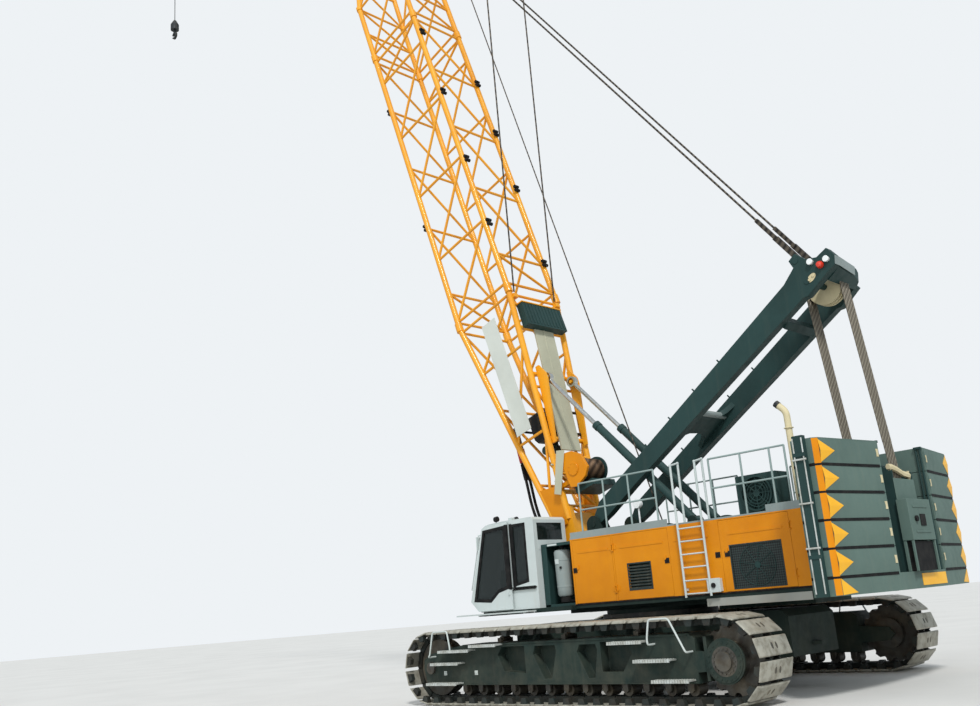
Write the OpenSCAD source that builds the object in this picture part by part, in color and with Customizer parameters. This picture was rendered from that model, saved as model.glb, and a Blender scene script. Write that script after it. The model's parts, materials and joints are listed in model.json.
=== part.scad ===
// Lattice-boom crawler crane with a fixed jib.
// +X points to the front (boom side), +Y to the left, +Z up.
// The origin is on the ground, under the slewing axis. Millimetres.

/* [Tracks] */
// Overall length of each track
track_len = 8620; // [8300:20:8900]
// Overall height of each track
track_h = 1466; // [1440:2:1500]
// Distance between the centre lines of the two tracks
track_gauge = 5922; // [5800:2:6100]
// Width of a track shoe
shoe_w = 1000; // [940:10:1040]
// Number of shoes in each loop
shoe_n = 66; // [60:2:72]
// Thickness of a shoe
shoe_t = 60; // [50:2:70]
// Gap between two shoes
shoe_gap = 24; // [16:2:36]
// Depth of the link chain inside the shoes
link_t = 110; // [90:5:130]
// Width of the link chain
link_w = 300; // [240:10:340]
// Number of rollers under each side frame
roller_n = 13; // [11:1:14]

/* [Undercarriage] */
// Width of the box of a side frame
frame_w = 700; // [640:10:760]
// Height of the underside of a side frame
frame_z0 = 390; // [370:5:410]
// Height of the top of a side frame
frame_z1 = 1170; // [1100:5:1190]
// Half width of the carbody's box
body_hw = 861; // [800:1:920]
// Half length of the carbody with its two ballast blocks
body_hl = 3402; // [3200:2:3600]
// Height of the carbody's underside
body_z0 = 583; // [540:1:620]
// Height of the carbody's top, where the slewing ring sits
body_z1 = 1450; // [1430:1:1470]
// Radius of the slewing ring
ring_r = 1200; // [1100:10:1300]

/* [Superstructure] */
// Height of the machine deck
deck_z = 1770; // [1760:1:1800]
// Half width of the superstructure
house_hw = 1607; // [1560:1:1660]
// Height of the house's roof
house_z1 = 3128; // [3080:1:3180]
// Front face of the house
house_x1 = 926; // [900:1:950]
// Rear face of the house
house_x0 = -4425; // [-4460:1:-4380]
// Half width of the open bay between the two halves of the house
bay_hw = 840; // [836:1:860]
// Thickness of the house's walls and doors
wall_t = 40; // [30:2:50]
// Radius of the hoist winch drums
drum_r = 280; // [240:5:300]

/* [Counterweight] */
// Half width of the counterweight
cw_hw = 2700; // [2600:5:2800]
// Rearmost point of the counterweight
cw_x0 = -5610; // [-5700:5:-5560]
// Height of one slab
slab_h = 443; // [420:1:460]
// Number of slabs in each stack
slab_n = 5; // [3:1:6]
// Height of the full-width base plate
cw_base_h = 285; // [270:1:300]

/* [Cab] */
// Rear face of the cab
cab_x0 = 1790; // [1780:1:1830]
// Front foot of the cab
cab_x1 = 3815; // [3760:1:3860]
// Inner side of the cab
cab_y0 = 720; // [715:1:740]
// Outer side of the cab
cab_y1 = 1760; // [1740:1:1780]
// Height of the cab's roof
cab_z1 = 3690; // [3640:1:3740]
// Thickness of the cab's walls
cab_t = 45; // [36:1:55]

/* [Boom] */
// Height of the boom's foot pin
boom_foot_z = 2350; // [2330:1:2370]
// Distance of the boom's foot pin in front of the slewing axis
boom_foot_x = 1600; // [1590:1:1620]
// Angle of the boom above level as it stands
boom_angle = 73; // [72:0.5:74]
// Length of the boom's foot section
foot_len = 7030; // [6900:10:7200]
// Length of one lattice bay
bay_len = 2120; // [2000:10:2240]
// Length of the straight middle section
insert_len = 9540; // [9300:10:9700]
// Half depth between the boom's chords
boom_hd = 940; // [900:5:960]
// Half width between the boom's chords
boom_hy = 870; // [840:5:900]
// Diameter of the boom's chords
chord_d = 150; // [130:5:160]
// Diameter of the boom's lacing tubes
lace_d = 70; // [60:2:80]
// Length of the head section
head_len = 6800; // [6700:10:6900]

/* [Jib] */
// Length of the jib between its foot pin and its sheave
jib_len = 17000; // [16600:50:17200]
// Angle of the jib above level as it stands
jib_angle = 43; // [42:0.5:44]
// Length of the jib's strut
strut_len = 7100; // [6900:10:7200]
// Length of the hoist rope that hangs from the jib's sheave
hang_len = 9200; // [8000:50:10000]

/* [A-frame] */
// Height of the A-frame's foot pin
af_z = 3420; // [3400:1:3440]
// Distance of the A-frame's foot pin in front of the slewing axis
af_x = 900; // [890:1:910]
// Depth of an A-frame leg
leg_d = 370; // [340:5:390]
// Width of an A-frame leg
leg_w = 200; // [180:2:200]

/* [Hidden] */
seat = 0.3;
clear = 5;
fn = 64;

orange = [0.84, 0.53, 0.04];
dark = [0.20, 0.28, 0.29];
frame_grey = [0.23, 0.30, 0.28];
ballast_grey = [0.43, 0.49, 0.47];
cab_white = [0.73, 0.78, 0.77];
shoe_grey = [0.80, 0.80, 0.72];
cream = [0.86, 0.82, 0.66];
rope_brown = [0.42, 0.38, 0.32];
black = [0.08, 0.08, 0.08];
glass = [0.35, 0.45, 0.45, 0.5];

// Helpers: a bar between two points; round bars are turned about their own axis by 33 degrees
bar_turn = 33;
module bar(p, q, d, n = 8) {
    v = q - p;
    translate(p) rotate([0, acos(v[2] / norm(v)), atan2(v[1], v[0])])
        rotate(n > 8 ? bar_turn : 0) cylinder(h = norm(v), d = d, $fn = n);
}
// A plate in the XZ plane, from y0 to y1
module plate_y(points, y0, y1) {
    translate([0, y1, 0]) rotate([90, 0, 0]) linear_extrude(y1 - y0) polygon(points);
}
// A box from its two opposite corners
module block(a, b) {
    translate(a) cube(b - a);
}
// A cylinder along Y from y0 to y1
module axle(x, z, r, y0, y1, n = 64) {
    translate([x, y1, z]) rotate([90, 0, 0]) cylinder(h = y1 - y0, r = r, $fn = n);
}
// A ring along Y
module hub(x, z, r, ri, y0, y1, n = 64) {
    translate([x, y1, z]) rotate([90, 0, 0]) difference() {
        cylinder(h = y1 - y0, r = r, $fn = n);
        translate([0, 0, -1]) cylinder(h = y1 - y0 + 2, r = ri, $fn = n);
    }
}
module both_sides() {
    children();
    mirror([0, 1, 0]) children();
}

// Derived sizes of the undercarriage
wheel_x = (track_len - track_h) / 2;
wheel_z = track_h / 2;
chain_r = wheel_z - shoe_t;
chain_ri = chain_r - link_t;
arc_len = PI * chain_r;
run_n = floor(shoe_n * 2 * wheel_x / (4 * wheel_x + 2 * arc_len));
end_n = (shoe_n - 2 * run_n) / 2;
run_len = 2 * wheel_x / run_n - shoe_gap;
end_len = arc_len / end_n - shoe_gap;
track_y = track_gauge / 2;
frame_y0 = track_y - frame_w / 2;
frame_y1 = track_y + frame_w / 2;
track_y1 = track_y + shoe_w / 2;
roller_r = 105;
roller_z = shoe_t + link_t + seat + roller_r;
roller_x = wheel_x - 830;
carrier_r = 55;

// Corners of one flat shoe: centre p, direction a of its outward normal, length l, outer height h
shoe_base = 24;
end_h = sqrt(pow(wheel_z, 2) - pow(end_len / 2, 2)) - chain_r;
function shoe_pts(p, a, l, h) = [for (c = [[-l / 2, shoe_base], [-l / 2, h], [l / 2, h], [l / 2, shoe_base]])
    [p[0] + c[1] * cos(a) - c[0] * sin(a), p[1] + c[1] * sin(a) + c[0] * cos(a)]];
function run_pts(e) = [for (i = [0 : run_n - 1]) each
    shoe_pts([e * (wheel_x - (i + 0.5) * 2 * wheel_x / run_n), wheel_z + e * chain_r], e * 90, run_len, shoe_t)];
function end_pts(e) = [for (i = [0 : end_n - 1]) let (a = e * 90 + (i + 0.5) * 180 / end_n) each
    shoe_pts([-e * wheel_x + chain_r * cos(a), wheel_z + chain_r * sin(a)], a, end_len, end_h)];
shoe_outline = concat(run_pts(1), end_pts(1), run_pts(-1), end_pts(-1));
module stadium(r) {
    translate([-wheel_x, wheel_z]) circle(r = r, $fn = fn);
    translate([wheel_x, wheel_z]) circle(r = r, $fn = fn);
    translate([-wheel_x, wheel_z - r]) square([2 * wheel_x, 2 * r]);
}
module track() {
    color(shoe_grey) {
        translate([0, track_y + shoe_w / 2, 0]) rotate([90, 0, 0]) linear_extrude(shoe_w) difference() {
            polygon(shoe_outline);
            stadium(chain_r);
        }
        translate([0, track_y + link_w / 2, 0]) rotate([90, 0, 0]) linear_extrude(link_w) difference() {
            stadium(chain_r + shoe_base / 2);
            stadium(chain_ri);
        }
    }
}
module track_left() { track(); }
module track_right() { mirror([0, 1, 0]) track(); }

// Side frame: one tapered box with pockets, open yokes at both ends
nose_x = wheel_x - 600;
frame_profile = [
    [-nose_x, frame_z0 + 110], [-nose_x + 150, frame_z0], [nose_x - 150, frame_z0],
    [nose_x, frame_z0 + 110], [nose_x, frame_z1 - 200], [nose_x - 420, frame_z1],
    [-nose_x + 420, frame_z1], [-nose_x, frame_z1 - 200]
];
pocket_d = 60;
pockets = [
    // x of the lower left, lower right, upper right, upper left corner
    [1580, 960, 1020, 1520],
    [620, 340, 480, 700],
    [-200, -560, -420, -120],
    [-900, -1560, -1500, -960]
];
module side_frame() {
    color(frame_grey) {
        difference() {
            plate_y(frame_profile, frame_y0, frame_y1);
            for (p = pockets)
                plate_y([[p[0], frame_z0 + 130], [p[1], frame_z0 + 130], [p[2], frame_z1 - 130], [p[3], frame_z1 - 130]],
                    frame_y1 - pocket_d, frame_y1 + 1);
        }
        // yoke arms that carry the sprocket and the idler
        for (sx = [-1, 1], y = [frame_y0, frame_y1 - 90])
            plate_y([
                [sx * (nose_x - 1), wheel_z - 170], [sx * (wheel_x + 60), wheel_z - 130],
                [sx * (wheel_x + 160), wheel_z], [sx * (wheel_x + 60), wheel_z + 130],
                [sx * (nose_x - 1), wheel_z + 170]
            ], y, y + 90);
    }
}
module side_frame_left() { side_frame(); }
module side_frame_right() { mirror([0, 1, 0]) side_frame(); }

wheel_y0 = frame_y0 + 90 + seat;
wheel_y1 = frame_y1 - 90 - seat;
wheel_r = chain_ri - seat;
sprocket_teeth = 14;
module sprocket_pair() {
    both_sides() {
        // toothed wheel inside the link chain
        translate([-wheel_x, track_y + link_w / 2 - 20, wheel_z]) rotate([90, 0, 0]) linear_extrude(link_w - 40)
            difference() {
                circle(r = wheel_r, $fn = fn);
                for (i = [0 : sprocket_teeth - 1]) rotate((i + 0.5) * 360 / sprocket_teeth)
                    translate([wheel_r + 10, 0]) circle(r = 70, $fn = 24);
            }
        axle(-wheel_x, wheel_z, 300, wheel_y0, wheel_y1);
        // hub cover outside the yoke with its ring of bolts
        axle(-wheel_x, wheel_z, 235, frame_y1 + seat, frame_y1 + 60);
        axle(-wheel_x, wheel_z, 150, frame_y1 + 60, frame_y1 + 105);
        for (i = [0 : 15]) rotate_about(-wheel_x, wheel_z, i * 22.5)
            axle(-wheel_x + 195, wheel_z, 15, frame_y1 + 59, frame_y1 + 80, 6);
    }
}
module rotate_about(x, z, a) {
    translate([x, 0, z]) rotate([0, a, 0]) translate([-x, 0, -z]) children();
}
module drive_sprockets() { color(dark) sprocket_pair(); }
module idlers() {
    color(dark) both_sides() {
        for (y = [track_y - link_w / 2 + 20, track_y + link_w / 2 - 80])
            axle(wheel_x, wheel_z, wheel_r, y, y + 60);
        axle(wheel_x, wheel_z, wheel_r - 60, track_y - link_w / 2 + 60, track_y + link_w / 2 - 60);
        axle(wheel_x, wheel_z, 170, wheel_y0, wheel_y1);
        axle(wheel_x, wheel_z, 120, frame_y1 + seat, frame_y1 + 50);
    }
}
module track_rollers() {
    color(dark) both_sides() {
        for (i = [0 : roller_n - 1]) {
            x = -roller_x + i * 2 * roller_x / (roller_n - 1);
            axle(x, roller_z, roller_r, track_y - 130, track_y + 130, 32);
            axle(x, roller_z, 45, track_y - 215, track_y + 215, 24);
            for (y = [track_y - 215, track_y + 165])
                block([x - 60, y, roller_z - 10], [x + 60, y + 50, frame_z0 - seat]);
        }
        for (i = [-1 : 1]) {
            z = track_h - shoe_t - link_t - seat - carrier_r;
            axle(i * 1700, z, carrier_r, track_y - 110, track_y + 110, 24);
            for (y = [track_y - 170, track_y + 110])
                block([i * 1700 - 50, y, frame_z1 + seat], [i * 1700 + 50, y + 60, z + 20]);
        }
    }
}

// Foot steps and grab handles on the outside of each side frame
step_y1 = track_y1 + 70;
steps = [
    // x from, x to, height
    [1330, 2080, frame_z1 - 30], [2100, 2860, frame_z1 - 170], [2300, 3180, 800], [2520, 3420, 450],
    [-2080, -1330, frame_z1 - 60], [-2620, -1860, 800], [-2960, -2200, 470]
];
handle_d = 34;
handles = [
    // x from, x to, height of the feet, height of the top
    [2500, 2820, frame_z1 - 170, track_h + 60],
    [-2560, -2230, 800, track_h + 40]
];
module access_steps() {
    color(cab_white) both_sides() {
        for (s = steps) {
            block([s[0], frame_y1 + seat, s[2] - 30], [s[1], step_y1, s[2]]);
            block([s[0], step_y1 - 12, s[2] - 60], [s[1], step_y1, s[2] - 20]);
        }
        for (h = handles) {
            y = step_y1 - handle_d / 2 - 4;
            for (x = [h[0], h[1]]) bar([x, y, h[2] - 5], [x, y, h[3]], handle_d, 24);
            bar([h[0] - handle_d / 2, y, h[3]], [h[1] + handle_d / 2, y, h[3]], handle_d, 24);
        }
    }
}

// Carbody: a long box, a round tower for the slewing ring and four arms
arm_x = 1150;
arm_w0 = 900;
arm_w1 = 620;
module carbody() {
    color(frame_grey) {
        block([-1800, -body_hw, body_z0 + 120], [1800, body_hw, body_z1 - 120]);
        translate([0, 0, body_z0 + 60]) cylinder(h = body_z1 - body_z0 - 60, r = ring_r - 20, $fn = fn);
        both_sides() for (sx = [-1, 1])
            translate([0, 0, body_z0 + 140]) linear_extrude(560)
                polygon([
                    [sx * (arm_x - arm_w0 / 2 - 250), body_hw - 200],
                    [sx * (arm_x - arm_w1 / 2 + 250), frame_y0 - seat],
                    [sx * (arm_x + arm_w1 / 2 + 250), frame_y0 - seat],
                    [sx * (arm_x + arm_w0 / 2), body_hw - 200]
                ]);
    }
}
module carbody_ballast() {
    color(dark) for (sx = [-1, 1]) {
        x0 = 1800 + seat;
        plate_y([
            [sx * x0, body_z0], [sx * body_hl, body_z0], [sx * body_hl, body_z1 - 160],
            [sx * (body_hl - 120), body_z1 - 40], [sx * x0, body_z1 - 40]
        ], -body_hw, body_hw);
        // towing eye: a flat lug with an upright bore
        translate([0, 0, tow_z - tow_t / 2]) difference() {
            linear_extrude(tow_t) polygon([
                [sx * (body_hl - 1), -tow_hw], [sx * (body_hl + tow_out), -tow_hw / 2],
                [sx * (body_hl + tow_out), tow_hw / 2], [sx * (body_hl - 1), tow_hw]
            ]);
            translate([sx * (body_hl + tow_x), 0, -1]) cylinder(h = tow_t + 2, r = tow_r, $fn = fn);
        }
    }
}
ring_h = 80;
tow_r = 36;
tow_t = 60;
tow_hw = 130;
tow_out = 160;
tow_x = 85;
tow_z = body_z0 + 190;
module slewing_ring() {
    color(black) translate([0, 0, body_z1 + seat]) difference() {
        cylinder(h = ring_h, r = ring_r, $fn = fn);
        translate([0, 0, -1]) cylinder(h = ring_h + 2, r = ring_r - 180, $fn = fn);
    }
}

// Superstructure
frame_bot = body_z1 + seat + ring_h + seat;
beam_z0 = 1600;
rear_x = -5000;
belly_x = -3900;
foot_y = 500;
foot_w = 120;
foot_r = 70;
lug_t = 50;
af_y = 660;
stop_y = 440;
stop_x = -1450;
stop_z = 3220;
barrel_r = 90;
pin_fit = 0.1;
af_ear_r = 180;
af_ear_y1 = af_y + leg_w / 2 + clear + 45;
sill_z0 = 1560;

// An ear with a pin hole, standing on the level z0
module ear(x, z, r, x0, x1, z0, y0, y1, hole) {
    difference() {
        union() {
            plate_y([[x0, z0], [x1, z0], [x + r, z], [x - r, z]], y0, y1);
            axle(x, z, r, y0, y1);
        }
        axle(x, z, hole, y0 - 1, y1 + 1);
    }
}
module slewing_frame() {
    color(frame_grey) {
        translate([0, 0, frame_bot]) cylinder(h = beam_z0 - frame_bot + 10, r = ring_r - 90, $fn = fn);
        block([rear_x, -bay_hw + 40, beam_z0], [1250, bay_hw - 40, deck_z]);
        block([belly_x, -700, track_h + 14], [-1900, 700, beam_z0 + 1]);
        both_sides() {
            // deck plate under each half of the house, with its outer sill
            block([house_x0, bay_hw - 41, deck_z - 70], [house_x1, house_hw, deck_z]);
            block([house_x0, house_hw - 60, sill_z0], [-2240, house_hw, deck_z - 69]);
            block([house_x0, bay_hw - 41, beam_z0], [house_x0 + 60, house_hw - 59, deck_z - 69]);
            block([-2300, bay_hw - 41, beam_z0], [-2240, house_hw - 59, deck_z - 69]);
            // nose beam with the two ears of the boom's foot pin
            block([1249, foot_y - 130, beam_z0], [boom_foot_x + 330, foot_y + 130, deck_z + 40]);
            for (y = [foot_y - foot_w / 2 - clear - lug_t, foot_y + foot_w / 2 + clear])
                ear(boom_foot_x, boom_foot_z, 190, boom_foot_x - 420, boom_foot_x + 300, deck_z + 39, y, y + lug_t, foot_r - 2);
            axle(boom_foot_x, boom_foot_z, foot_r, foot_y - foot_w / 2 - clear - lug_t - 25, foot_y + foot_w / 2 + clear + lug_t + 25);
            // ears of the A-frame
            for (y = [af_y - leg_w / 2 - clear - 45, af_y + leg_w / 2 + clear])
                ear(af_x, af_z, af_ear_r, -100, 1200, deck_z - 1, y, y + 45, 58);
            axle(af_x, af_z, 60, af_y - leg_w / 2 - clear - 60, af_y + leg_w / 2 + clear + 60);
            // ears of the backstop cylinders
            for (y = [stop_y - barrel_r - clear - 40, stop_y + barrel_r + clear])
                ear(stop_x, stop_z, 110, stop_x - 170, stop_x + 170, deck_z - 1, y, y + 40, 38);
            axle(stop_x, stop_z, 40, stop_y - barrel_r - clear - 50, stop_y + barrel_r + clear + 50);
        }
    }
}
// Platform that carries the cab, beside the nose beam
module cab_platform() {
    color(frame_grey) translate([0, 0, deck_z - 90]) linear_extrude(90) polygon([
        [house_x1 + seat, af_ear_y1 + seat], [1250 + seat, af_ear_y1 + seat],
        [1250 + seat, foot_y + 130 + seat], [cab_x0 + 60, foot_y + 130 + seat],
        [cab_x0 + 60, cab_y0 + 60], [cab_x1 - 300, cab_y0 + 60],
        [cab_x1 - 300, cab_y1], [house_x1 + seat, cab_y1]
    ]);
}

// Doors of the left side: front door, louvre door, radiator door
door_gap = 6;
post_w = 36;
seams = [-176, -1544, -2682, -4107];
door_z0 = deck_z + 30;
door_z1 = house_z1 - 60;
// x of the hinge, x of the latch edge
doors_l = [
    [seams[0] + post_w / 2 + door_gap, house_x1 - 50],
    [seams[0] - post_w / 2 - door_gap, seams[1] + door_gap / 2],
    [seams[3] + door_gap / 2, seams[2] - door_gap / 2]
];
module door_opening(d) {
    x0 = min(d[0], d[1]);
    x1 = max(d[0], d[1]);
    block([x0 - door_gap, house_hw - wall_t - 1, door_z0 - door_gap], [x1 + door_gap, house_hw + 1, door_z1 + door_gap]);
}
// Hinges: the axis stands just outside the outer face, on the door's edge
hinge_y = house_hw + 14;
hinge_r = 12;
hinge_pin = 6;
hinge_h = 90;
hinges = [door_z0 + 180, door_z1 - 280];
module hinge_pins(d) {
    s = sign(d[1] - d[0]);
    for (z = hinges) {
        translate([d[0], hinge_y, z - 30]) cylinder(h = hinge_h + 60, r = hinge_pin, $fn = 32);
        for (e = [-30, hinge_h + 6]) {
            block([min(d[0] - s * 30, d[0] - s * 10), house_hw - 1, z + e], [max(d[0] - s * 30, d[0] - s * 10), hinge_y + 8, z + e + 24]);
            block([min(d[0] - s * 11, d[0] + s * 6), hinge_y - 8, z + e], [max(d[0] - s * 11, d[0] + s * 6), hinge_y + 8, z + e + 24]);
        }
    }
}
module house_half(doors) {
    difference() {
        block([house_x0, bay_hw, deck_z + seat], [house_x1, house_hw, house_z1 - 30]);
        block([house_x0 + wall_t, bay_hw + wall_t, deck_z - 1], [house_x1 - wall_t, house_hw - wall_t, house_z1 - 30 - wall_t]);
        for (d = doors) door_opening(d);
    }
    for (d = doors) hinge_pins(d);
    // stamped beads under the eaves of the fixed panel
    block([seams[2] + 250, house_hw - 1, house_z1 - 330], [seams[1] - 120, house_hw + 8, house_z1 - 290]);
}
module house_left() { color(orange) house_half(doors_l); }
module house_right() { color(orange) mirror([0, 1, 0]) house_half([doors_l[0], doors_l[1]]); }
module house_roof() {
    color(cab_white) both_sides() {
        block([house_x0, bay_hw, house_z1 - 30 + seat], [house_x1, house_hw, house_z1]);
        block([-1560, house_hw - 20, house_z1 - 1], [house_x1 - 20, house_hw, house_z1 + 110]);
        block([house_x0 + 20, house_hw - 20, house_z1 - 1], [-3700, house_hw, house_z1 + 110]);
    }
}
module engine_block() {
    color(dark) both_sides()
        block([-3900, bay_hw + wall_t + 60, deck_z + seat], [-300, house_hw - wall_t - 130, house_z1 - 400]);
}
// A door that hangs on its hinge edge d[0]; kind 0 plain, 1 louvre, 2 radiator mesh
module house_door(d, kind) {
    s = sign(d[1] - d[0]);
    x0 = min(d[0], d[1]);
    x1 = max(d[0], d[1]);
    w = x1 - x0;
    lou = kind == 1 ? [x0 + 0.36 * w, x1 - 0.24 * w, 1985, 2470] : [x0 + 0.14 * w, x1 - 0.12 * w, deck_z + 60, 2610];
    difference() {
        block([x0, house_hw - wall_t, door_z0], [x1, house_hw, door_z1]);
        if (kind > 0) block([lou[0], house_hw - wall_t - 1, lou[2]], [lou[1], house_hw + 1, lou[3]]);
    }
    if (kind == 1) for (i = [0 : 7])
        plate_x([
            [house_hw - wall_t + 4, lou[2] + 28 + i * 58], [house_hw - 6, lou[2] + 8 + i * 58],
            [house_hw - 6, lou[2] + 20 + i * 58], [house_hw - wall_t + 4, lou[2] + 40 + i * 58]
        ], lou[0] - 1, lou[1] + 1);
    if (kind == 2) {
        // mesh sheet with the round fan guard behind it
        block([lou[0] - 1, house_hw - wall_t + 12, lou[2] - 1], [lou[1] + 1, house_hw - wall_t + 20, lou[3] + 1]);
        xc = (lou[0] + lou[1]) / 2;
        zc = (lou[2] + lou[3]) / 2;
        hub(xc, zc, 360, 330, house_hw - wall_t - 8, house_hw - wall_t + 13);
    }
    // bead and latch
    block([x0 + 0.1 * w, house_hw - 1, house_z1 - 330], [x1 - 0.12 * w, house_hw + 8, house_z1 - 290]);
    block([d[1] - s * 110 - 25, house_hw - 1, 2480], [d[1] - s * 110 + 25, house_hw + 14, 2560]);
    // hinge knuckles with their leaves
    for (z = hinges) difference() {
        union() {
            translate([d[0], hinge_y, z]) cylinder(h = hinge_h, r = hinge_r, $fn = 48);
            block([min(d[0], d[0] + s * 70), house_hw - 1, z], [max(d[0], d[0] + s * 70), house_hw + 7, z + hinge_h]);
        }
        translate([d[0], hinge_y, z - 1]) cylinder(h = hinge_h + 2, r = hinge_pin + 0.05, $fn = 48);
    }
}
// A plate in the YZ plane, from x0 to x1
module plate_x(points, x0, x1) {
    translate([x0, 0, 0]) rotate([90, 0, 90]) linear_extrude(x1 - x0) polygon(points);
}
module house_door_1() { color(orange) house_door(doors_l[0], 0); }
module house_door_2() { color(orange) house_door(doors_l[1], 1); }
module house_door_3() { color(orange) house_door(doors_l[2], 2); }
module house_door_4() { color(orange) mirror([0, 1, 0]) house_door(doors_l[0], 0); }
module house_door_5() { color(orange) mirror([0, 1, 0]) house_door(doors_l[1], 1); }

// Ladder on the left side and the rails round the roof
lad_x0 = -2410;
lad_x1 = -1860;
lad_y = house_hw + 90;
lad_top = house_z1 + 1090;
module ladder() {
    color(cab_white) {
        for (x = [lad_x0, lad_x1]) {
            bar([x, lad_y, deck_z - 20], [x, lad_y, lad_top], 45, 24);
            bar([x, lad_y, lad_top], [x, lad_y - 260, lad_top + 60], 40, 24);
            bar([x, lad_y - 260, lad_top + 60], [x, lad_y - 260, house_z1 + seat], 45, 24);
            for (c = [[lad_y, lad_top], [lad_y - 260, lad_top + 60]])
                translate([x, c[0], c[1]]) sphere(r = 26, $fn = 24);
            block([x - 20, house_hw + seat, deck_z + 100], [x + 20, lad_y, deck_z + 140]);
        }
        for (i = [0 : 5]) bar([lad_x0, lad_y, deck_z + 40 + i * 240], [lad_x1, lad_y, deck_z + 40 + i * 240], 30, 12);
        block([lad_x0 - 200, house_hw + seat, deck_z + 60], [lad_x0 - 30, house_hw + 60, deck_z + 250]);
    }
}
rail_y = house_hw - 57;
rail_h = 1100;
rail_d = 38;
front_rail = [590, -60, -700, -1340];
rear_rail = [-2620, -3300, -3900, -4200];
module rail(xs, y) {
    n = len(xs) - 1;
    for (x = xs) bar([x, y, house_z1 + seat], [x, y, house_z1 + rail_h], rail_d, 16);
    for (z = [0.5, 1]) bar([xs[0], y, house_z1 + rail_h * z], [xs[n], y, house_z1 + rail_h * z], rail_d - 2, 16);
}
module deck_rails() {
    color(cab_white) {
        rail(front_rail, rail_y);
        rail(rear_rail, rail_y);
        rail(front_rail, -rail_y);
        rail(rear_rail, -rail_y);
    }
}
cooler = [-3880, -3060, 950, 1420];
cooler_h = 700;
module oil_cooler() {
    color(dark) difference() {
        union() {
            block([cooler[0], cooler[2], house_z1 + seat], [cooler[1], cooler[3], house_z1 + cooler_h]);
            hub((cooler[0] + cooler[1]) / 2, house_z1 + cooler_h / 2, 320, 290, cooler[3] - 1, cooler[3] + 40);
        }
        axle((cooler[0] + cooler[1]) / 2, house_z1 + cooler_h / 2, 290, cooler[3] - 120, cooler[3] + 50);
    }
    color(dark) {
        xc = (cooler[0] + cooler[1]) / 2;
        zc = house_z1 + cooler_h / 2;
        axle(xc, zc, 70, cooler[3] - 121, cooler[3] - 20, 32);
        for (i = [0 : 6]) rotate_about(xc, zc, i * 360 / 7)
            block([xc + 60, cooler[3] - 100, zc - 45], [xc + 280, cooler[3] - 85, zc + 45]);
        axle(xc, zc, 64, cooler[3] - 21, cooler[3] + 20, 32);
        for (i = [0 : 7]) rotate_about(xc, zc, i * 45)
            block([xc, cooler[3] + 10, zc - 6], [xc + 300, cooler[3] + 22, zc + 6]);
        for (r = [130, 190, 240]) hub(xc, zc, r + 7, r - 7, cooler[3] + 10, cooler[3] + 22);
    }
}
ex_x = -4160;
ex_y = 1180;
ex_r = 62;
ex_h = 1720;
module exhaust() {
    color(cream) {
        translate([ex_x, ex_y, house_z1 + seat]) cylinder(h = 60, r = 130, $fn = 48);
        translate([ex_x, ex_y, house_z1 + seat]) difference() {
            cylinder(h = ex_h, r = ex_r, $fn = 48);
            translate([0, 0, ex_h - 200]) cylinder(h = 300, r = ex_r - 6, $fn = 48);
        }
        translate([ex_x, ex_y, house_z1 + 0.7 * ex_h]) cylinder(h = 70, r = ex_r + 16, $fn = 48);
        translate([ex_x, ex_y, house_z1 + ex_h]) difference() {
            rotate([0, 40, 0]) cylinder(h = 330, r = ex_r + 4, $fn = 48);
            rotate([0, 40, 0]) translate([0, 0, 40]) cylinder(h = 400, r = ex_r - 6, $fn = 48);
        }
    }
}
// Winches in the open bay: two for the hoist ropes and one for the boom hoist
winch_x = [-790, -2180, -3520];
winch_z = 2830;
winch_hw = 560;
flange_r = 420;
module winches() {
    for (i = [0 : 2]) {
        color(dark) {
            axle(winch_x[i], winch_z, drum_r, -winch_hw + 60, winch_hw - 60);
            for (y = [-winch_hw + 40, winch_hw - 80]) axle(winch_x[i], winch_z, flange_r, y, y + 40);
            axle(winch_x[i], winch_z, 120, -winch_hw - 60, winch_hw + 60, 32);
        }
        // side plates that carry the drum
        color(orange) both_sides()
            plate_y([
                [winch_x[i] - 300, deck_z + seat], [winch_x[i] + 300, deck_z + seat],
                [winch_x[i] + 160, winch_z + 160], [winch_x[i] - 160, winch_z + 160]
            ], winch_hw + 1, winch_hw + 41);
    }
}

// Counterweight: full-width base and two stacks of slabs with swept rear faces
cw_z0 = deck_z + seat;
cw_in = 950;
base_z0 = beam_z0 + seat;
cw_rear_o = cw_x0 + 235;
slab_plan = [
    [cw_x0, cw_in], [cw_rear_o, cw_hw - 90], [cw_rear_o + 80, cw_hw], [cw_rear_o + 440, cw_hw],
    [cw_x0 + 1150, cw_in + 700], [cw_x0 + 1150, cw_in]
];
slab_z0 = base_z0 + cw_base_h;
module counterweight_base() {
    color(ballast_grey) difference() {
        translate([0, 0, base_z0]) linear_extrude(cw_base_h) polygon([
            [cw_x0, -cw_in], [cw_x0, cw_in], [cw_rear_o, cw_hw - 90], [cw_rear_o + 80, cw_hw],
            [cw_rear_o + 440, cw_hw], [cw_x0 + 1150, cw_in + 700], [cw_x0 + 1150, -cw_in - 700],
            [cw_rear_o + 440, -cw_hw], [cw_rear_o + 80, -cw_hw], [cw_rear_o, -cw_hw + 90]
        ]);
        block([rear_x - seat, -bay_hw + 40 - seat, base_z0 - 1], [cw_x0 + 1200, bay_hw - 40 + seat, deck_z + seat]);
    }
}
module slab_stack() {
    for (i = [0 : slab_n - 1]) {
        z = slab_z0 + i * slab_h;
        translate([0, 0, z]) linear_extrude(slab_h - 12) polygon(slab_plan);
        translate([0, 0, z + slab_h - 13]) linear_extrude(13) polygon([
            [cw_x0 + 120, cw_in + 90], [cw_rear_o + 120, cw_hw - 200], [cw_rear_o + 380, cw_hw - 200],
            [cw_x0 + 1050, cw_in + 600], [cw_x0 + 1050, cw_in + 90]
        ]);
    }
}
module counterweight_left() { color(ballast_grey) slab_stack(); }
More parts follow.
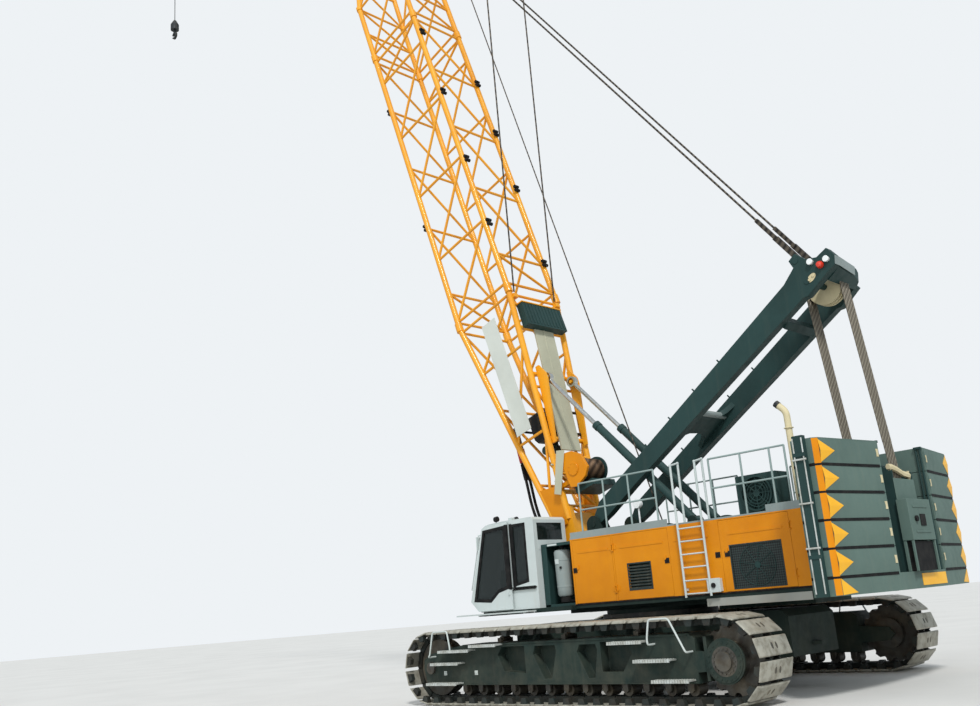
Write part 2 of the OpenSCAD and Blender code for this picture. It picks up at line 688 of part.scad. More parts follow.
module counterweight_right() { color(ballast_grey) mirror([0, 1, 0]) slab_stack(); }
cw_top = slab_z0 + slab_n * slab_h;
module tie_posts() {
    color(dark) both_sides() {
        // outer post on the end of each stack
        block([cw_rear_o + 170, cw_hw + seat, base_z0], [cw_rear_o + 350, cw_hw + 110, cw_top + 40]);
        for (z = [slab_z0 + 300, cw_top - 300])
            block([cw_rear_o + 150, cw_hw + 100, z], [cw_rear_o + 370, cw_hw + 125, z + 60]);
        // inner tie rods between the stack and the tower
        for (x = [cw_x0 + 40, cw_x0 + 110]) bar([x, cw_in - 30, slab_z0 + seat], [x, cw_in - 30, cw_top - 20], 36, 16);
        block([cw_x0 + 10, cw_in - 60, cw_top - 40], [cw_x0 + 140, cw_in - seat, cw_top]);
    }
}
// Tower between the two stacks, open at the top for the boom hoist ropes
tower_x0 = cw_x0 + 60;
tower_x1 = -4640;
tower_hw = 420;
tower_z0 = slab_z0 + seat;
tower_z1 = 3620;
module rear_tower() {
    color(dark) {
        difference() {
            block([tower_x0, -tower_hw, tower_z0], [tower_x1, tower_hw, tower_z1]);
            block([tower_x0 + 30, -tower_hw + 30, tower_z0 + 500], [tower_x1 - 30, tower_hw - 30, tower_z1 + 1]);
            block([tower_x0 - 1, -tower_hw + 30, tower_z1 - 620], [tower_x1 + 1, tower_hw - 30, tower_z1 + 1]);
        }
        axle(rv_bot[0], rv_bot[1], 60, -tower_hw + 29, tower_hw - 29, 48);
        for (i = [0 : 2]) axle(rv_bot[0], rv_bot[1], head_r, fall_y(i, 1) - 21, fall_y(i, 1) + 21);
    }
}

// Cab
cab_z0 = deck_z + seat;
glass_t = 8;
cab_floor_x = cab_x1 - 235;
// Side outline of the cab: foot, knee, windscreen foot, brow, roof
cab_outline = [
    [cab_x0, cab_z0], [cab_floor_x, cab_z0], [cab_x1, cab_z0 + 245], [cab_x1 - 485, cab_z1 - 110],
    [cab_x1 - 640, cab_z1 - 20], [cab_x1 - 1100, cab_z1], [cab_x0 + 60, cab_z1], [cab_x0, cab_z1 - 60]
];
cab_inner = [
    [cab_x0 + cab_t, cab_z0 + cab_t], [cab_floor_x - 20, cab_z0 + cab_t], [cab_x1 - cab_t, cab_z0 + 265],
    [cab_x1 - 485 - cab_t, cab_z1 - 135], [cab_x1 - 660, cab_z1 - 20 - cab_t], [cab_x1 - 1100, cab_z1 - cab_t],
    [cab_x0 + 60, cab_z1 - cab_t], [cab_x0 + cab_t, cab_z1 - 60]
];
door_x0 = cab_x1 - 1290;
side_win = [
    [cab_x0 + 260, cab_z0 + 570], [door_x0 - 60, cab_z0 + 500], [door_x0 - 60, cab_z1 - 110], [cab_x0 + 260, cab_z1 - 110]
];
door_win = [
    [door_x0 + 70, cab_z0 + 470], [door_x0 + 380, cab_z0 + 400], [door_x0 + 640, cab_z0 + 210], [cab_x1 - 130, cab_z0 + 250],
    [cab_x1 - 545, cab_z1 - 160], [door_x0 + 70, cab_z1 - 120]
];
front_win = [cab_z0 + 290, cab_z1 - 160];
module cab_opening() {
    // doorway in the left wall, behind the sliding door
    plate_y([
        [door_x0 + 50, cab_z0 + 60], [cab_floor_x - 40, cab_z0 + 60], [cab_x1 - 90, cab_z0 + 260],
        [cab_x1 - 555, cab_z1 - 130], [door_x0 + 50, cab_z1 - 80]
    ], cab_y1 - cab_t - 1, cab_y1 + 1);
}
module cab() {
    color(cab_white) difference() {
        plate_y(cab_outline, cab_y0, cab_y1);
        plate_y(cab_inner, cab_y0 + cab_t, cab_y1 - cab_t);
        cab_opening();
        plate_y(side_win, cab_y1 - cab_t - 1, cab_y1 + 1);
        // windscreen, roof light and rear window
        plate_x([
            [cab_y0 + 90, front_win[0]], [cab_y1 - 90, front_win[0]], [cab_y1 - 90, front_win[1]], [cab_y0 + 90, front_win[1]]
        ], cab_x1 - 900, cab_x1 + 10);
        plate_x([
            [cab_y0 + 110, cab_z1 - 700], [cab_y1 - 110, cab_z1 - 700], [cab_y1 - 110, cab_z1 - 130], [cab_y0 + 110, cab_z1 - 130]
        ], cab_x0 - 1, cab_x0 + cab_t + 1);
        plate_y(mirror_win, cab_y0 - 1, cab_y0 + cab_t + 1);
    }
}
mirror_win = [
    [cab_x0 + 260, cab_z0 + 600], [cab_x1 - 250, cab_z0 + 420], [cab_x1 - 600, cab_z1 - 160], [cab_x0 + 260, cab_z1 - 160]
];
module cab_glass() {
    color(glass) {
        plate_y(side_win, cab_y1 - cab_t / 2 - glass_t / 2, cab_y1 - cab_t / 2 + glass_t / 2);
        plate_y(mirror_win, cab_y0 + cab_t / 2 - glass_t / 2, cab_y0 + cab_t / 2 + glass_t / 2);
        block([cab_x0 + cab_t / 2 - glass_t / 2, cab_y0 + 110, cab_z1 - 700], [cab_x0 + cab_t / 2 + glass_t / 2, cab_y1 - 110, cab_z1 - 130]);
        plate_y([
            [screen_x(front_win[0]) - 24, front_win[0]], [screen_x(front_win[0]) - 14, front_win[0]],
            [screen_x(front_win[1]) - 14, front_win[1]], [screen_x(front_win[1]) - 24, front_win[1]]
        ], cab_y0 + 90, cab_y1 - 90);
    }
}
// x of the windscreen's outer face at height z
function screen_x(z) = cab_x1 - 485 * (z - cab_z0 - 245) / (cab_z1 - 110 - cab_z0 - 245);
seat_x = cab_x0 + 700;
seat_y = (cab_y0 + cab_y1) / 2;
module cab_seat() {
    color(black) {
        block([seat_x - 200, seat_y - 160, cab_z0 + cab_t + seat], [seat_x + 200, seat_y + 160, cab_z0 + 360]);
        block([seat_x + 700, seat_y - 180, cab_z0 + cab_t + seat], [seat_x + 780, seat_y + 180, cab_z0 + 900]);
        for (y = [seat_y - 340, seat_y + 260])
            block([seat_x - 180, y, cab_z0 + 480], [seat_x + 260, y + 80, cab_z0 + 640]);
        block([seat_x - 100, seat_y - 340, cab_z0 + 359], [seat_x + 60, seat_y + 340, cab_z0 + 481]);
    }
    color(orange) {
        block([seat_x - 250, seat_y - 240, cab_z0 + 480], [seat_x + 270, seat_y + 240, cab_z0 + 600]);
        plate_y([
            [seat_x - 250, cab_z0 + 599], [seat_x - 130, cab_z0 + 599], [seat_x - 260, cab_z0 + 1250], [seat_x - 370, cab_z0 + 1250]
        ], seat_y - 230, seat_y + 230);
    }
}
cdoor_y0 = cab_y1 + 42;
cdoor_t = 36;
module door_panel() {
    plate_y([
        [door_x0, cab_z0 + 20], [cab_floor_x + 4, cab_z0 + 20], [cab_x1 - 2, cab_z0 + 240],
        [cab_x1 - 500, cab_z1 - 110], [cab_x1 - 640, cab_z1 - 40], [door_x0, cab_z1 - 40]
    ], cdoor_y0, cdoor_y0 + cdoor_t);
}
slide_z = cab_z0 + 440;
module cab_door() {
    color(cab_white) difference() {
        door_panel();
        plate_y(door_win, cdoor_y0 - 1, cdoor_y0 + cdoor_t + 1);
    }
    color(black) {
        block([door_x0 + 30, cdoor_y0 + cdoor_t - 1, cab_z0 + 330], [door_x0 + 60, cdoor_y0 + cdoor_t + 34, cab_z0 + 440]);
        // roller arm that runs in the side rail
        block([door_x0 + 2, cab_y1 + 6, slide_z - 14], [door_x0 + 40, cdoor_y0 + 1, slide_z + 14]);
    }
}
module cab_door_glass() {
    color(glass) plate_y(door_win, cdoor_y0 + 14, cdoor_y0 + 22);
}
module cab_fittings() {
    color(black) {
        // side rail of the sliding door
        for (z = [slide_z - 34, slide_z + 14.6])
            block([cab_x0 + 40, cab_y1 + seat, z], [door_x0 + 46, cab_y1 + 34, z + 19.4]);
        // mirror on its bracket in front
        bar([screen_x(cab_z1 - 200) + 6, cab_y1 - 60, cab_z1 - 200], [cab_x1 - 250, cab_y1 - 60, cab_z1 - 230], 26, 16);
        bar([cab_x1 - 250, cab_y1 - 60, cab_z1 - 210], [cab_x1 - 250, cab_y1 - 60, cab_z1 - 620], 26, 16);
        block([cab_x1 - 275, cab_y1 - 150, cab_z1 - 560], [cab_x1 - 240, cab_y1 + 20, cab_z1 - 260]);
        block([cab_x1 - 1240, cab_y1 - 260, cab_z1 + seat], [cab_x1 - 1140, cab_y1 - 160, cab_z1 + 70]);
    }
    color(cab_white) {
        // foot platform beside the cab
        block([cab_x0 + 60, cab_y1 + 60, deck_z - 60], [cab_x1 + 240, cab_y1 + 330, deck_z - 30]);
        for (x = [cab_x0 + 160, cab_x1 - 500])
            block([x, cab_y1 + seat, deck_z - 86], [x + 60, cab_y1 + 300, deck_z - 59]);
    }
}
module cab_cabinet() {
    color(dark) block([house_x1 + 20, bay_hw + 60, cab_z0], [cab_x0 - 60, cab_y1 - 180, house_z1 - 50]);
    color(cab_white) translate([house_x1 + 560, cab_y1 - 100, cab_z0]) cylinder(h = 700, r = 75, $fn = 48);
}

// Boom
tilt = 90 - boom_angle;
module boom_at() {
    translate([boom_foot_x, 0, boom_foot_z]) rotate([0, tilt, 0]) children();
}
s1 = foot_len;
s2 = s1 + insert_len;
s3 = s2 + head_len;
// Heights of the cross members of one face, from inset e0 above z0 to inset e1 below z1
function stations(z0, z1, e0, e1, shift) = concat(
    [z0 + e0], [for (z = [z0 + shift : bay_len : z1 - e1 - bay_len * 0.3]) z], [z1 - e1]
);
// Boom section: four chords, and on each face cross members with one diagonal a bay.
// The nodes of the side faces lie half a bay from those of the front and rear faces.
module truss(z0, z1, a0, b0, a1, b1, e0, e1, skip = 0) {
    function a(z) = a0 + (a1 - a0) * (z - z0) / (z1 - z0);
    function b(z) = b0 + (b1 - b0) * (z - z0) / (z1 - z0);
    for (x = [-1, 1], y = [-1, 1]) bar([x * a0, y * b0, z0], [x * a1, y * b1, z1], chord_d, 48);
    side = stations(z0, z1, e0, e1, bay_len);
    face = stations(z0, z1, e0, e1, bay_len / 2);
    for (y = [-1, 1]) {
        for (i = [skip : len(side) - 1]) let (z = side[i])
            bar([-a(z), y * b(z), z], [a(z), y * b(z), z], lace_d);
        for (i = [0 : len(side) - 2]) let (z = side[i], w = side[i + 1])
            bar([a(z), y * b(z), z], [-a(w), y * b(w), w], lace_d);
    }
    for (x = [-1, 1]) {
        for (i = [skip : len(face) - 1]) let (z = face[i])
            bar([x * a(z), -b(z), z], [x * a(z), b(z), z], lace_d);
        for (i = [0 : len(face) - 2]) let (z = face[i], w = face[i + 1])
            bar([x * a(z), -b(z), z], [x * a(w), b(w), w], lace_d);
    }
}
// Zigzag lattice between two rectangular ends: half depth a and half width b at each end
module lattice(z0, z1, a0, b0, a1, b1, n, d, dl) {
    function at(i, k) = let (t = i / n) k == 0 ? a0 + (a1 - a0) * t : b0 + (b1 - b0) * t;
    h = (z1 - z0) / n;
    for (x = [-1, 1], y = [-1, 1]) bar([x * a0, y * b0, z0], [x * a1, y * b1, z1], d, 48);
    for (i = [0 : n - 1]) {
        e = i % 2 == 0 ? 1 : -1;
        for (y = [-1, 1])
            bar([e * at(i, 0), y * at(i, 1), z0 + i * h], [-e * at(i + 1, 0), y * at(i + 1, 1), z0 + (i + 1) * h], dl);
        for (x = [-1, 1])
            bar([x * at(i, 0), -e * at(i, 1), z0 + i * h], [x * at(i + 1, 0), e * at(i + 1, 1), z0 + (i + 1) * h], dl);
    }
}
// Square frame of tubes across the boom at height z
module ring_frame(z, a, b, d) {
    for (x = [-a, a]) bar([x, -b, z], [x, b, z], d);
    for (y = [-b, b]) bar([-a, y, z], [a, y, z], d);
}
// Fork and eye joints between two sections
module chord_ends(z, a, b, d) {
    for (x = [-a, a], y = [-b, b]) translate([x, y, z]) rotate(45) cylinder(h = 120, d = d + 44, $fn = 48);
}
ped = 1300;
ped_hd = 190;
ped_hy = foot_y + 40;
end_inset = 160;
foot_cut = 20;
cross_d = 110;
cross_s = [1930, 2770, 3200, 4800, 6000];
module boom_foot() {
    color(orange) boom_at() {
        truss(ped, s1 - foot_cut, ped_hd, ped_hy, boom_hd, boom_hy, 300, end_inset - foot_cut);
        for (s = cross_s) bar([rear_t(s), -side_y(s), s], [rear_t(s), side_y(s), s], cross_d, 32);
        both_sides() block([-boom_hd - 90, 690, s1 - 290], [-boom_hd + 20, boom_hy - 30, s1 - 190]);
        chord_ends(s1 - 120, boom_hd, boom_hy, chord_d);
        // welded box foot with its two pin eyes
        both_sides() difference() {
            union() {
                plate_y([[-150, -60], [150, -60], [330, ped + 250], [-330, ped + 250]], foot_y - foot_w / 2, foot_y + foot_w / 2);
                axle(0, 0, 170, foot_y - foot_w / 2, foot_y + foot_w / 2);
            }
            axle(0, 0, foot_r + pin_fit, foot_y - foot_w, foot_y + foot_w);
        }
        for (x = [-200, 140])
            block([x, -foot_y, 820], [x + 60, foot_y, ped + 150]);
    }
}
module boom_insert() {
    color(orange) boom_at() {
        truss(s1 + seat, s2, boom_hd, boom_hy, boom_hd, boom_hy, end_inset, end_inset);
        chord_ends(s1 + seat, boom_hd, boom_hy, chord_d);
        chord_ends(s2 - 120, boom_hd, boom_hy, chord_d);
    }
}
// Head section: straight part, tapered part and head box
taper_s = s2 + bay_len;
box_s = s3 - 1300;
head_y = 420;
head_pin = [boom_hd + 180, s3 - 584];
pend_y = 355;
jib_foot = [560, s3];
module boom_head() {
    color(orange) boom_at() {
        union() {
            truss(s2 + seat, taper_s, boom_hd, boom_hy, boom_hd, boom_hy, end_inset, 0);
            truss(taper_s, box_s, boom_hd, boom_hy, 520, head_y + 20, 0, 300, 1);
            chord_ends(s2 + seat, boom_hd, boom_hy, chord_d);
            chord_ends(taper_s - 60, boom_hd, boom_hy, chord_d);
            both_sides() {
                plate_y([
                    [-560, box_s - 260], [560, box_s - 260], [700, s3], [480, s3 + 190], [-300, s3 + 190], [-620, s3 - 300]
                ], head_y - 30, head_y + 30);
                // rear lug for the boom pendants
                plate_y([
                    [-500, s3 - 900], [-500, s3 - 420], [-head_pin[0] - 70, head_pin[1] + 80], [-head_pin[0] - 70, head_pin[1] - 80]
                ], pend_y - 25, pend_y + 25);
                axle(-head_pin[0], head_pin[1], 40, pend_y - 66, pend_y + 66, 48);
                block([-540, pend_y - 25, s3 - 900], [-480, head_y, s3 - 420]);
            }
            for (x = [-520, 460]) block([x, -head_y, box_s - 200], [x + 60, head_y, box_s + 200]);
        }
    }
}
module boom_sheaves() {
    color(cream) boom_at() {
        for (i = [-2 : 2]) {
            axle(350, s3 - 620, 300, i * 130 - 38, i * 130 + 38);
        }
        axle(350, s3 - 620, 60, -head_y + 30 + seat, head_y - 30 - seat, 32);
        axle(-330, s3 - 60, 230, -60, 60);
        axle(-330, s3 - 60, 50, -head_y + 30 + seat, head_y - 30 - seat, 32);
    }
}
// Brackets on the rear face of the foot section: walkway and backstop beams
stop_s = 4590;
stop_t = -860;
stop_pin = 40;
taper_a = atan((boom_hd - ped_hd) / (s1 - ped));
cross_off = (cross_d / 2 + seat) / cos(taper_a);
function rear_t(s) = -(ped_hd + (boom_hd - ped_hd) * (s - ped) / (s1 - ped));
function side_y(s) = ped_hy + (boom_hy - ped_hy) * (s - ped) / (s1 - ped);
module boom_walkway() {
    color(cab_white) boom_at()
        // walkway panel on the rear face
        plate_y([
            [rear_t(6200) - cross_off, 6200], [rear_t(3100) - cross_off, 3100],
            [rear_t(3100) - cross_off - 34, 3100], [rear_t(6200) - cross_off - 34, 6200]
        ], -250, 250);
    color(orange) boom_at() both_sides() {
        // backstop beams on the cross bars, with the pins of the rods
        plate_y([
            [rear_t(4950) - cross_off, 4950], [rear_t(3050) - cross_off, 3050],
            [rear_t(3050) - cross_off - 100, 3050], [stop_t - 90, stop_s - 60], [stop_t - 90, stop_s + 90], [rear_t(4950) - cross_off - 100, 4950]
        ], stop_y + 95, stop_y + 145);
        axle(stop_t, stop_s, stop_pin, stop_y - 75, stop_y + 145, 48);
    }
}
bw_s = 2350;
bw_t = -620;
module boom_winch() {
    boom_at() {
        color(orange) both_sides()
            plate_y([
                [rear_t(cross_s[0]) - cross_off, cross_s[0]], [rear_t(cross_s[1]) - cross_off, cross_s[1]],
                [bw_t - 120, bw_s + 250], [bw_t - 240, bw_s], [bw_t - 120, bw_s - 250]
            ], 330, 370);
        color(dark) {
            axle(bw_t, bw_s, 210, -329, 329);
            axle(bw_t, bw_s, 60, -375, 375, 32);
            for (y = [-320, 285]) axle(bw_t, bw_s, 245, y, y + 35);
        }
    }
}

// Jib
function boom_pt(t, s) = [
    boom_foot_x + s * cos(boom_angle) + t * sin(boom_angle),
    boom_foot_z + s * sin(boom_angle) - t * cos(boom_angle)
];
jf = boom_pt(jib_foot[0], jib_foot[1]);
jt = [jf[0] + jib_len * cos(jib_angle), jf[1] + jib_len * sin(jib_angle)];
strut_angle = 151;
strut_hy = 630;
back_y = 735;
st = [jf[0] + strut_len * cos(strut_angle), jf[1] + strut_len * sin(strut_angle)];
jib_hy = 330;
jib_r = 350;
module jib_at() {
    translate([jf[0], 0, jf[1]]) rotate([0, 90 - jib_angle, 0]) children();
}
module jib() {
    color(orange) jib_at() {
        lattice(2200, jib_len - 1800, 380, 360, 300, 330, 16, 76, 40);
        // tapered foot with its pin eyes
        both_sides() {
            difference() {
                union() {
                    plate_y([[-90, 0], [90, 0], [430, 2230], [330, 2260], [-330, 2260], [-430, 2230]], jib_hy, jib_hy + 40);
                    axle(0, 0, 110, jib_hy, jib_hy + 40);
                }
                axle(0, 0, 50 + pin_fit, jib_hy - 1, jib_hy + 41);
            }
            // head plates
            plate_y([
                [-340, jib_len - 1850], [340, jib_len - 1850], [120, jib_len + 120], [-230, jib_len + 60], [-290, jib_len - 500]
            ], 120, 150);
            bar([-300, 325, jib_len - 1850], [-150, 135, jib_len - 700], 76, 24);
            bar([300, 325, jib_len - 1850], [150, 135, jib_len - 700], 76, 24);
        }
        ring_frame(2200, 380, 360, 60);
        ring_frame(jib_len - 1800, 300, 330, 60);
        axle(0, jib_len, jib_r - 60, -40, 40);
        axle(0, jib_len, 50, -151, 151, 32);
        axle(-170, jib_len, 30, -240, 240, 32);
    }
}
module jib_strut() {
    color(orange) {
        both_sides() bar([jf[0], 250, jf[1]], [st[0], strut_hy, st[1]], 130, 32);
        bar([st[0], -780, st[1]], [st[0], 780, st[1]], 110, 32);
        for (t = [0.3, 0.62]) {
            p = [jf[0] + (st[0] - jf[0]) * t, jf[1] + (st[1] - jf[1]) * t];
            bar([p[0], -250 - (strut_hy - 250) * t, p[1]], [p[0], 250 + (strut_hy - 250) * t, p[1]], 80);
        }
        axle(jf[0], jf[1], 50, -head_y + 30 + seat, head_y - 30 - seat, 48);
        // guide sheave of the hoist rope
        axle(guide[0], guide[1], 40, -400, 400, 32);
        axle(guide[0], guide[1], guide_r, -45, 45);
    }
}
fore_pin = [jt[0] - 170 * sin(jib_angle), jt[1] + 170 * cos(jib_angle)];
fore_v = [fore_pin[0] - st[0], fore_pin[1] - st[1]];
fore_end = [fore_pin[0] - 31 * fore_v[0] / norm(fore_v), 200, fore_pin[1] - 31 * fore_v[1] / norm(fore_v)];
module jib_stays() {
    color(dark) both_sides() {
        a = boom_pt(-boom_hd - 40, s1 - 120 + 12);
        bar([a[0], back_y, a[1]], [st[0], back_y, st[1] - 56], 40, 12);
        bar([st[0] + 56 * fore_v[0] / norm(fore_v), 200, st[1] + 56 * fore_v[1] / norm(fore_v)], fore_end, 40, 12);
    }
}
rope_d = 30;
hook_x = jt[0] + jib_r - 60 + rope_d / 2 + seat;
hook_z = jt[1] - hang_len;
module hook() {
    color(dark) {
        bar([hook_x, 0, jt[1]], [hook_x, 0, hook_z + 320], rope_d, 16);
        translate([hook_x, 0, hook_z]) {
            translate([0, 0, 120]) cylinder(h = 200, r1 = 170, r2 = 60, $fn = 48);
            translate([0, 0, -130]) cylinder(h = 250, r = 170, $fn = 48);
            translate([0, 0, -260]) cylinder(h = 131, r = 50, $fn = 32);
        }
    }
    color(orange) translate([hook_x, 0, hook_z - 400]) rotate([90, 0, 0]) difference() {
        union() {
            cylinder(h = 80, r = 160, center = true, $fn = 48);
            translate([-50, 0, -40]) cube([100, 180, 80]);
        }
        cylinder(h = 100, r = 85, center = true, $fn = 48);
        translate([0, -60, -50]) cube([200, 100, 100]);
    }
}

// Backstop cylinders
stop_top = boom_pt(stop_t, stop_s);
stop_len = norm([stop_top[0] - stop_x, stop_top[1] - stop_z]);
stop_angle = atan2(stop_top[1] - stop_z, stop_top[0] - stop_x);
barrel_len = 3320;
rod_in = 1100;
bore_len = 1700;
stop_eye = 75;
rod_r = 50;
module stop_at() {
    translate([stop_x, 0, stop_z]) rotate([0, 90 - stop_angle, 0]) children();
}
module backstop_barrels() {
    color(dark) stop_at() both_sides() difference() {
        union() {
            translate([0, stop_y, 70]) cylinder(h = barrel_len - 100, r = barrel_r, $fn = 48);
            axle(0, 0, 95, stop_y - stop_eye, stop_y + stop_eye);
            translate([0, stop_y, barrel_len - 120]) cylinder(h = 120, r = barrel_r + 12, $fn = 48);
        }
        translate([0, stop_y, barrel_len - bore_len]) cylinder(h = bore_len + 10, r = rod_r + seat, $fn = 48);
        axle(0, 0, 40 + pin_fit, stop_y - stop_eye - 1, stop_y + stop_eye + 1);
    }
}
module backstop_rods() {
    color(cream) stop_at() both_sides() difference() {
        union() {
            translate([0, stop_y, barrel_len - rod_in]) cylinder(h = stop_len - barrel_len + rod_in - stop_pin - 60, r = rod_r, $fn = 48);
            axle(0, stop_len, stop_pin + 90, stop_y - 60, stop_y + 60);
        }
        axle(0, stop_len, stop_pin + 45, stop_y - 61, stop_y + 61);
    }
}

// A-frame, pendants and boom hoist reeving
af_head = [-4600, 7720];
af_sheave = [-4770, 7270];
head_r = 340;
af_len = norm([af_head[0] - af_x, af_head[1] - af_z]);
af_angle = atan2(af_head[1] - af_z, af_head[0] - af_x);
// places the A-frame's own axis: length along Z, front side towards +X
module af_at() {
    translate([af_x, 0, af_z]) rotate([0, 90 - af_angle, 0]) children();
}
module a_frame() {
    color(dark) af_at() {
        both_sides() {
            difference() {
                union() {
                    plate_y([
                        [-60, -60], [60, -60], [leg_d / 2, 420], [leg_d / 2, af_len - 500], [180, af_len + 110], [-330, af_len + 110],
                        [-570, af_len - 60], [-540, af_len - 330], [-leg_d / 2, af_len - 1300], [-leg_d / 2, 420]
                    ], af_y - leg_w / 2, af_y + leg_w / 2);
                    axle(0, 0, 120, af_y - leg_w / 2, af_y + leg_w / 2);
                }
                axle(0, 0, 60 + pin_fit, af_y - leg_w / 2 - 1, af_y + leg_w / 2 + 1);
            }
            // pegs on the upper side
            for (s = [2100, 2900, 3700, 4500]) bar([leg_d / 2 - 1, af_y, s], [leg_d / 2 + 110, af_y, s], 34, 16);
        }
        block([-120, -af_y + 60, 2850], [120, af_y - 60, 3120]);
        block([-80, -af_y + 60, af_len - 1150], [80, af_y - 60, af_len - 1000]);
    }
    // shaft for the pendants and shaft for the sheaves
    color(dark) {
        axle(af_head[0], af_head[1], 60, -af_y, af_y, 48);
        axle(af_sheave[0], af_sheave[1], 60, -af_y, af_y, 48);
    }
}
module a_frame_sheaves() {
    color(cream) for (i = [0 : 2])
        hub(af_sheave[0], af_sheave[1], head_r, 60 + seat, fall_y(i, 0) - 21, fall_y(i, 0) + 21);
}
pend_end = boom_pt(-head_pin[0], head_pin[1]);
pend_len = norm([pend_end[0] - af_head[0], pend_end[1] - af_head[1]]);
pend_angle = atan2(pend_end[1] - af_head[1], pend_end[0] - af_head[0]);
module pend_at() {
    translate([af_head[0], 0, af_head[1]]) rotate([0, 90 - pend_angle, 0]) children();
}
module boom_pendants() {
    color(dark) pend_at() both_sides() {
        for (y = [pend_y - 58, pend_y + 32]) hub(0, 0, 110, 60 + seat, y, y + 26);
        for (y = [pend_y - 58, pend_y + 32]) plate_y([[-50, 104], [50, 104], [50, 900], [-50, 900]], y, y + 26);
        axle(0, 840, 34, pend_y - 70, pend_y + 70, 32);
        translate([-40, pend_y - 31, 800]) cube([80, 62, 700]);
        translate([0, pend_y, 1490]) cylinder(h = pend_len - 1990, d = 44, $fn = 24);
        translate([-40, pend_y - 31, pend_len - 560]) cube([80, 62, 300]);
        for (y = [pend_y - 57, pend_y + 31]) {
            plate_y([[-50, pend_len - 400], [50, pend_len - 400], [70, pend_len - 110], [-70, pend_len - 110]], y, y + 26);
            hub(0, pend_len, 140, 90, y, y + 26);
        }
    }
}
rv_top = af_sheave;
rv_bot = [(tower_x0 + tower_x1) / 2, 3450];
rv_len = norm([rv_top[0] - rv_bot[0], rv_top[1] - rv_bot[1]]);
rv_angle = atan2(rv_top[1] - rv_bot[1], rv_top[0] - rv_bot[0]);
rv_rope = 22;
rv_part = 3150;
// Origin at the head's sheave shaft, with +Z pointing back along the falls
module rv_at() {
    translate([rv_top[0], 0, rv_top[1]]) rotate([0, 270 - rv_angle, 0]) children();
}
// The falls of the upper sheaves (phase 0) and of the lower sheaves (phase 1) lie side by side
fall_step = 46;
function fall_y(i, phase) = (2 * i + phase - 2.5) * fall_step;
module falls(phase, z0, z1) {
    for (x = [-head_r - rv_rope / 2 - seat, head_r + rv_rope / 2 + seat], i = [0 : 2])
        translate([x, fall_y(i, phase), z0]) cylinder(h = z1 - z0, d = rv_rope, $fn = 16);
}
module reeving_upper() { color(rope_brown) rv_at() falls(0, 0, rv_part); }
module reeving_lower() { color(rope_brown) rv_at() falls(1, rv_len - rv_part, rv_len); }

// Hoist rope from the front winch to the jib strut
guide_t = 0.40;
guide_r = 250;
guide_gap = 66;
guide = [jf[0] + (st[0] - jf[0]) * guide_t, jf[1] + (st[1] - jf[1]) * guide_t];
hoist_d = norm([guide[0] - winch_x[0], guide[1] - winch_z]);
hoist_off = drum_r + seat + rope_d + guide_gap + guide_r;
hoist_a = asin(hoist_off / hoist_d);
hoist_len = hoist_d * cos(hoist_a);
hoist_angle = atan2(guide[1] - winch_z, guide[0] - winch_x[0]) + hoist_a;
module hoist_rope() {
    color(rope_brown) translate([winch_x[0], 0, winch_z]) rotate([0, 90 - hoist_angle, 0])
        translate([drum_r + rope_d / 2 + seat, 0, 0]) cylinder(h = hoist_len, d = rope_d, $fn = 16);
}

carbody();
carbody_ballast();
slewing_ring();
side_frame_left();
side_frame_right();
track_left();
track_right();
drive_sprockets();
idlers();
track_rollers();
access_steps();
slewing_frame();
cab_platform();
house_left();
house_right();
house_roof();
engine_block();
house_door_1();
house_door_2();
house_door_3();
house_door_4();
house_door_5();
ladder();
deck_rails();
oil_cooler();
exhaust();
winches();
rear_tower();
counterweight_base();
counterweight_left();
counterweight_right();
tie_posts();
cab();
cab_glass();
cab_seat();
cab_fittings();
cab_cabinet();
cab_door();
cab_door_glass();
boom_foot();
boom_insert();
boom_head();
boom_walkway();
boom_winch();
boom_sheaves();
jib();
jib_strut();
jib_stays();
hook();
backstop_barrels();
backstop_rods();
a_frame();
a_frame_sheaves();
boom_pendants();
reeving_upper();
reeving_lower();
hoist_rope();
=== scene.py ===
"""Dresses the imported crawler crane: finishes for its solids and the small fittings that ride on them."""

import json
import logging
import math
from dataclasses import dataclass
from enum import Enum
from math import cos, sin
from typing import Iterable, Mapping, Optional, Sequence, Union

import bmesh
import bpy
from mathutils import Matrix, Vector

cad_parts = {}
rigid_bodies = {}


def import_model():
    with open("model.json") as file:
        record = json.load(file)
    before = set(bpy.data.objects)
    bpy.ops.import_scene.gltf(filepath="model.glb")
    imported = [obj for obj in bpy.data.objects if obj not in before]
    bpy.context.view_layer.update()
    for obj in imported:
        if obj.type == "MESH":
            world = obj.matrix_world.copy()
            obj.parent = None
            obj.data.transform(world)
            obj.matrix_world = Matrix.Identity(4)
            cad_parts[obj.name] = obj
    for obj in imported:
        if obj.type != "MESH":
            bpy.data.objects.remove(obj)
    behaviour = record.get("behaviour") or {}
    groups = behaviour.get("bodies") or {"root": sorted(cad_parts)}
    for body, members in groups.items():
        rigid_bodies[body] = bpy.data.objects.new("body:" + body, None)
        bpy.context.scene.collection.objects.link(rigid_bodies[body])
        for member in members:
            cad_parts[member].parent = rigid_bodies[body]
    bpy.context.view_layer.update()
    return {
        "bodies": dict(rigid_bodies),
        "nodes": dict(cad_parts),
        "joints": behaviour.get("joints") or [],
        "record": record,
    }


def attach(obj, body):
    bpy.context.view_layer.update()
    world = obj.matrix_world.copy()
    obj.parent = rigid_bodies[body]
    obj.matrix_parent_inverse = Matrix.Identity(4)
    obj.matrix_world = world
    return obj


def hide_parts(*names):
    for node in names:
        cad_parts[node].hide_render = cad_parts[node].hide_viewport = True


LOG = logging.getLogger("crane")
Point = tuple[float, float, float]
Outline = Sequence[tuple[float, float]]
Tree = bpy.types.NodeTree
Socket = bpy.types.NodeSocket
Links = Mapping[str, Union[float, tuple, Socket]]


